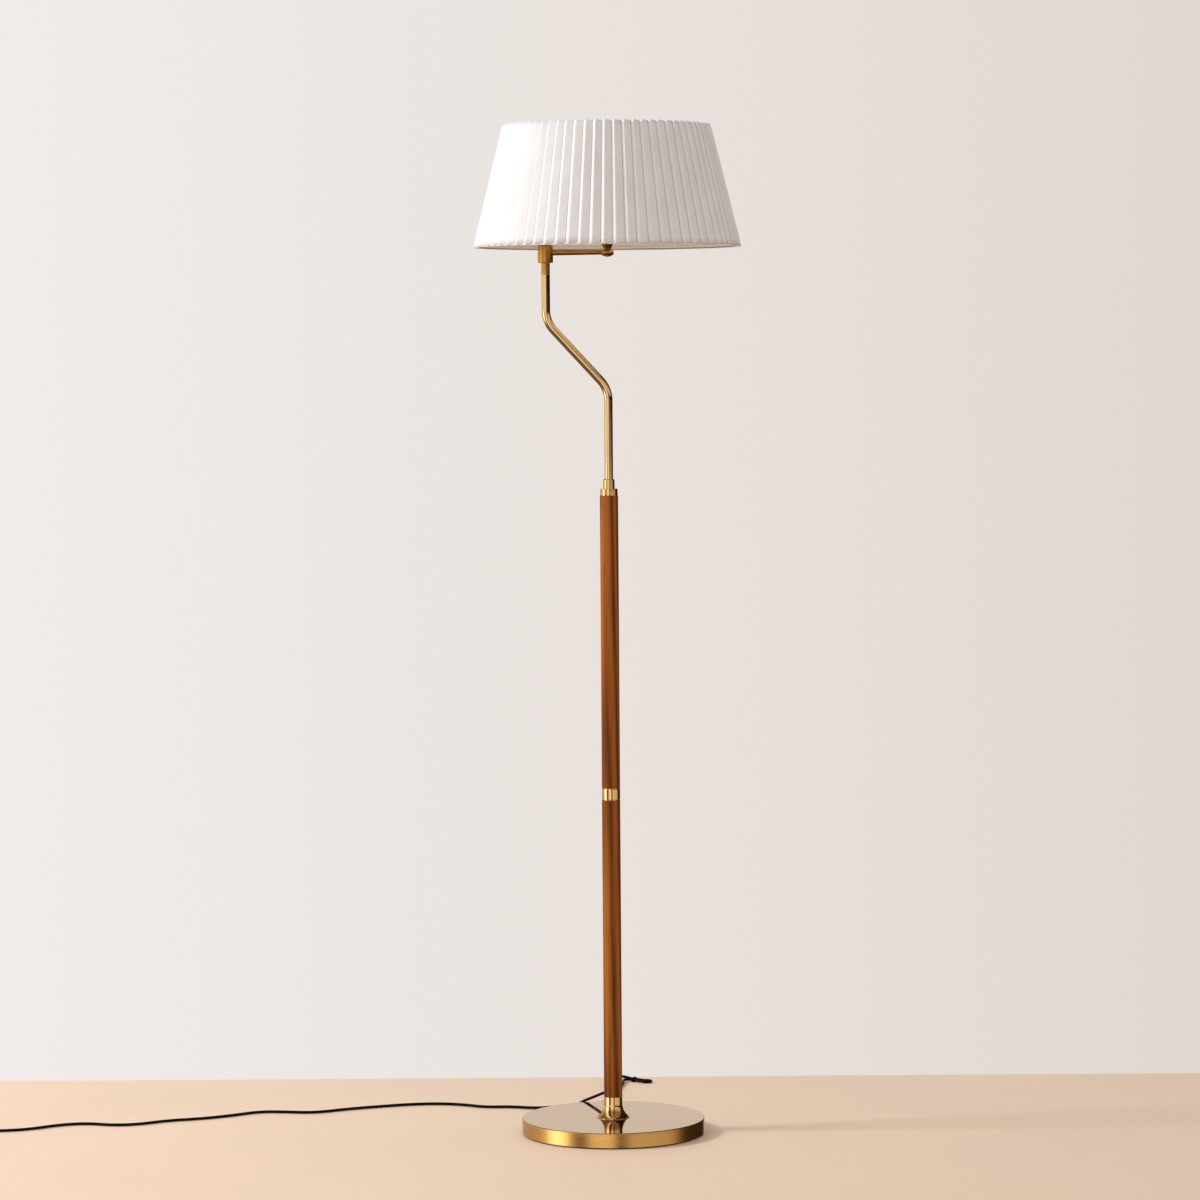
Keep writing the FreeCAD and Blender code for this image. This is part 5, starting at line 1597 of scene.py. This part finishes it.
@dataclass
class Studio:
    """A plain pale floor, soft lights and the camera at the photograph's viewing angle."""

    camera_place: Point = (0.0, -6.4761, 1.2011)
    lens_px: float = 4248.8
    sensor_mm: float = 36.0
    pitch_deg: float = 3.364
    roll_deg: float = 0.411
    yaw_deg: float = -0.131
    lights: tuple[SoftLight, ...] = (
        SoftLight("key_light", (-3.4, -0.42, 2.9), (0, 0, 0.9), (0.7, 0.7), 104, "#FFFFFF"),
        SoftLight("front_light", (-1.6, -4.6, 2.9), (0, 0, 0.8), (1.6, 1.2), 10, "#FFFDFB"))
    floor_reach: float = 14.0
    floor_drop: float = 0.0003
    back_edge: float = 0.5
    horizon: tuple[float, float] = (-0.17, -0.21)
    far_floor: str = "#E1C8AF"
    walls: tuple[str, str] = ("#F7F4F2", "#DACEC6")
    wall_turn: float = 0.25
    sky: str = "#FDF6F4"
    fill: tuple[float, float] = (0.68, 0.57)
    fill_turn: float = 0.8
    brightest: float = 4.0
    dark_tint: str = "#F3C48C"
    bright_tint: str = "#FFFBF5"
    high_from: tuple[float, float] = (-0.032, -0.024)
    high_until: tuple[float, float] = (0.08, 0.14)
    dim_above: Point = (0.28, 0.6, 0.4)
    dim_below: Point = (-0.2, -0.42, 0.15)
    mirrored_high: Profile = ((-180, 0.1), (-160, 0.2), (-140, 0.95), (-60, 1.0), (-4, 1.15), (4, 0.9),
                              (14, 0.3), (28, 0.12), (38, 0.01), (172, 0.01), (180, 0.1))
    mirrored: Profile = ((-180, 0.9), (-168, 0.9), (-160, 0.6), (-104, 0.7), (-90, 1.0), (-84, 3.2),
                         (-66, 3.2), (-58, 0.9), (-50, 0.2), (-34, 0.15), (-30, 1.1), (1, 1.3), (4, 0.08),
                         (14, 0.08), (18, 0.9), (80, 0.75), (97, 0.06), (160, 0.04), (166, 0.9), (180, 0.9))

    def build(self) -> None:
        """Build the floor, the lights, the world and the camera."""
        self.floor()
        self.world()
        for light in self.lights:
            light.hang()
        self.camera()
        scene = bpy.context.scene
        scene.view_settings.view_transform = "Standard"
        scene.view_settings.look = "None"

    def floor(self) -> None:
        """Lay the floor, which ends a little behind the lamp."""
        x, y, z = self.floor_reach, self.back_edge, -self.floor_drop
        floor = mesh_object("studio_floor", [(-x, -x, z), (x, -x, z), (x, y, z), (-x, y, z)], [(0, 1, 2, 3)],
                            FLOOR)
        floor.visible_glossy = False
        floor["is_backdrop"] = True

    def world(self) -> None:
        """Surround the lamp with an even pale room, and give its brass upright bands to mirror."""
        world = bpy.data.worlds.new("studio_room")
        bpy.context.scene.world = world
        world.use_nodes = True
        world.node_tree.nodes.clear()
        graph = NodeGraph(world.node_tree)
        ray = graph.vector("NORMALIZE", graph.add("ShaderNodeTexCoord", out="Generated"))
        x, y, z = graph.add("ShaderNodeSeparateXYZ", ray).node.outputs
        path = graph.add("ShaderNodeLightPath").node.outputs
        plain, banded = self.room(graph, x, z, path["Is Diffuse Ray"]), self.windows(graph, x, y, z)
        graph.add("ShaderNodeOutputWorld",
                  graph.add("ShaderNodeMixShader", path["Is Glossy Ray"], plain, banded))

    def room(self, graph: NodeGraph, x: Socket, z: Socket, diffuse: Socket) -> Socket:
        """Make the pale room: its wall and far floor to the camera, and an even fill to the surfaces.

        Args:
            graph: The world's nodes.
            x: How far the ray points to the right.
            z: How far it points up.
            diffuse: Whether it is a diffuse ray.

        Returns:
            The room's background.
        """
        side = graph.span(x, -self.wall_turn, self.wall_turn, 0.0, 1.0)
        wall = graph.blend(side, *(linear(colour) for colour in self.walls))
        room = graph.blend(graph.span(z, *self.horizon, 0.0, 1.0), wall, linear(self.far_floor))
        lit = graph.mix(diffuse, 1.0, graph.span(x, -self.fill_turn, self.fill_turn, *self.fill))
        return graph.add("ShaderNodeBackground", graph.blend(diffuse, room, linear(self.sky)), lit)

    def windows(self, graph: NodeGraph, x: Socket, y: Socket, z: Socket) -> Socket:
        """Make the bright and dark upright bands, with their own set for nearly level rays.

        Args:
            graph: The world's nodes.
            x: How far the ray points to the right.
            y: How far it points away from the viewer.
            z: How far it points up.

        Returns:
            The bands' background.
        """
        heading = graph.math("ARCTAN2", x, graph.math("MULTIPLY", y, -1.0))
        share = graph.span(heading, -math.pi, math.pi, 0.0, 1.0)
        usual, high = (self.bands(graph, share, stops) for stops in (self.mirrored, self.mirrored_high))
        rising = graph.span(z, *self.high_from, 0.0, 1.0)
        falling = graph.span(z, *self.high_until, 1.0, 0.0)
        bands = graph.mix(graph.math("MULTIPLY", rising, falling), usual, high)
        dimmed = [graph.span(z, start, end, 1.0, left) for start, end,
                  left in (self.dim_above, self.dim_below)]
        level = graph.math("MULTIPLY", bands, graph.math("MULTIPLY", *dimmed))
        strength = graph.math("MULTIPLY", level, self.brightest)
        tint = graph.blend(strength, linear(self.dark_tint), linear(self.bright_tint))
        return graph.add("ShaderNodeBackground", tint, strength)

    def bands(self, graph: NodeGraph, share: Socket, stops: Profile) -> Socket:
        """Make a ramp of brightness over the heading, as a share of the brightest.

        Args:
            graph: The world's nodes.
            share: The heading, from 0 to 1.
            stops: Each heading in degrees with its brightness.

        Returns:
            The ramp's output.
        """
        ramp = graph.add("ShaderNodeValToRGB", share)
        elements = ramp.node.color_ramp.elements
        elements.remove(elements[1])
        for i, (angle, level) in enumerate(stops):
            place = (angle + 180) / 360
            element = elements.new(place) if i else elements[0]
            element.position = place
            element.color = (*[level / self.brightest] * 3, 1.0)
        return ramp



    def camera(self) -> None:
        """Set the camera where the photograph was taken."""
        data = bpy.data.cameras.new("photo_camera")
        data.sensor_width = self.sensor_mm
        data.lens = self.lens_px * self.sensor_mm / PICTURE
        data.clip_end = 100.0
        camera = placed("photo_camera", data)
        turn = (Matrix.Rotation(math.radians(-self.yaw_deg), 4, "Z")
                @ Matrix.Rotation(math.radians(90 - self.pitch_deg), 4, "X")
                @ Matrix.Rotation(math.radians(-self.roll_deg), 4, "Z"))
        camera.matrix_world = Matrix.Translation(self.camera_place) @ turn
        bpy.context.scene.camera = camera


def corners() -> list[list[float]]:
    """Return the shown object's lowest and highest corner as plain lists."""
    return [[float(c) for c in corner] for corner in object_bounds()]


def main() -> None:
    """Load the frame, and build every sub-assembly in order."""
    logging.basicConfig(level=logging.INFO, format="%(message)s")
    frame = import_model()
    Studio().build()
    for kind in (Foot, Column, CrankedTube, PivotArm, Lampholder, Shade, CordSet):
        kind(frame).build()
    bpy.context.view_layer.update()


if __name__ == "__main__":
    main()
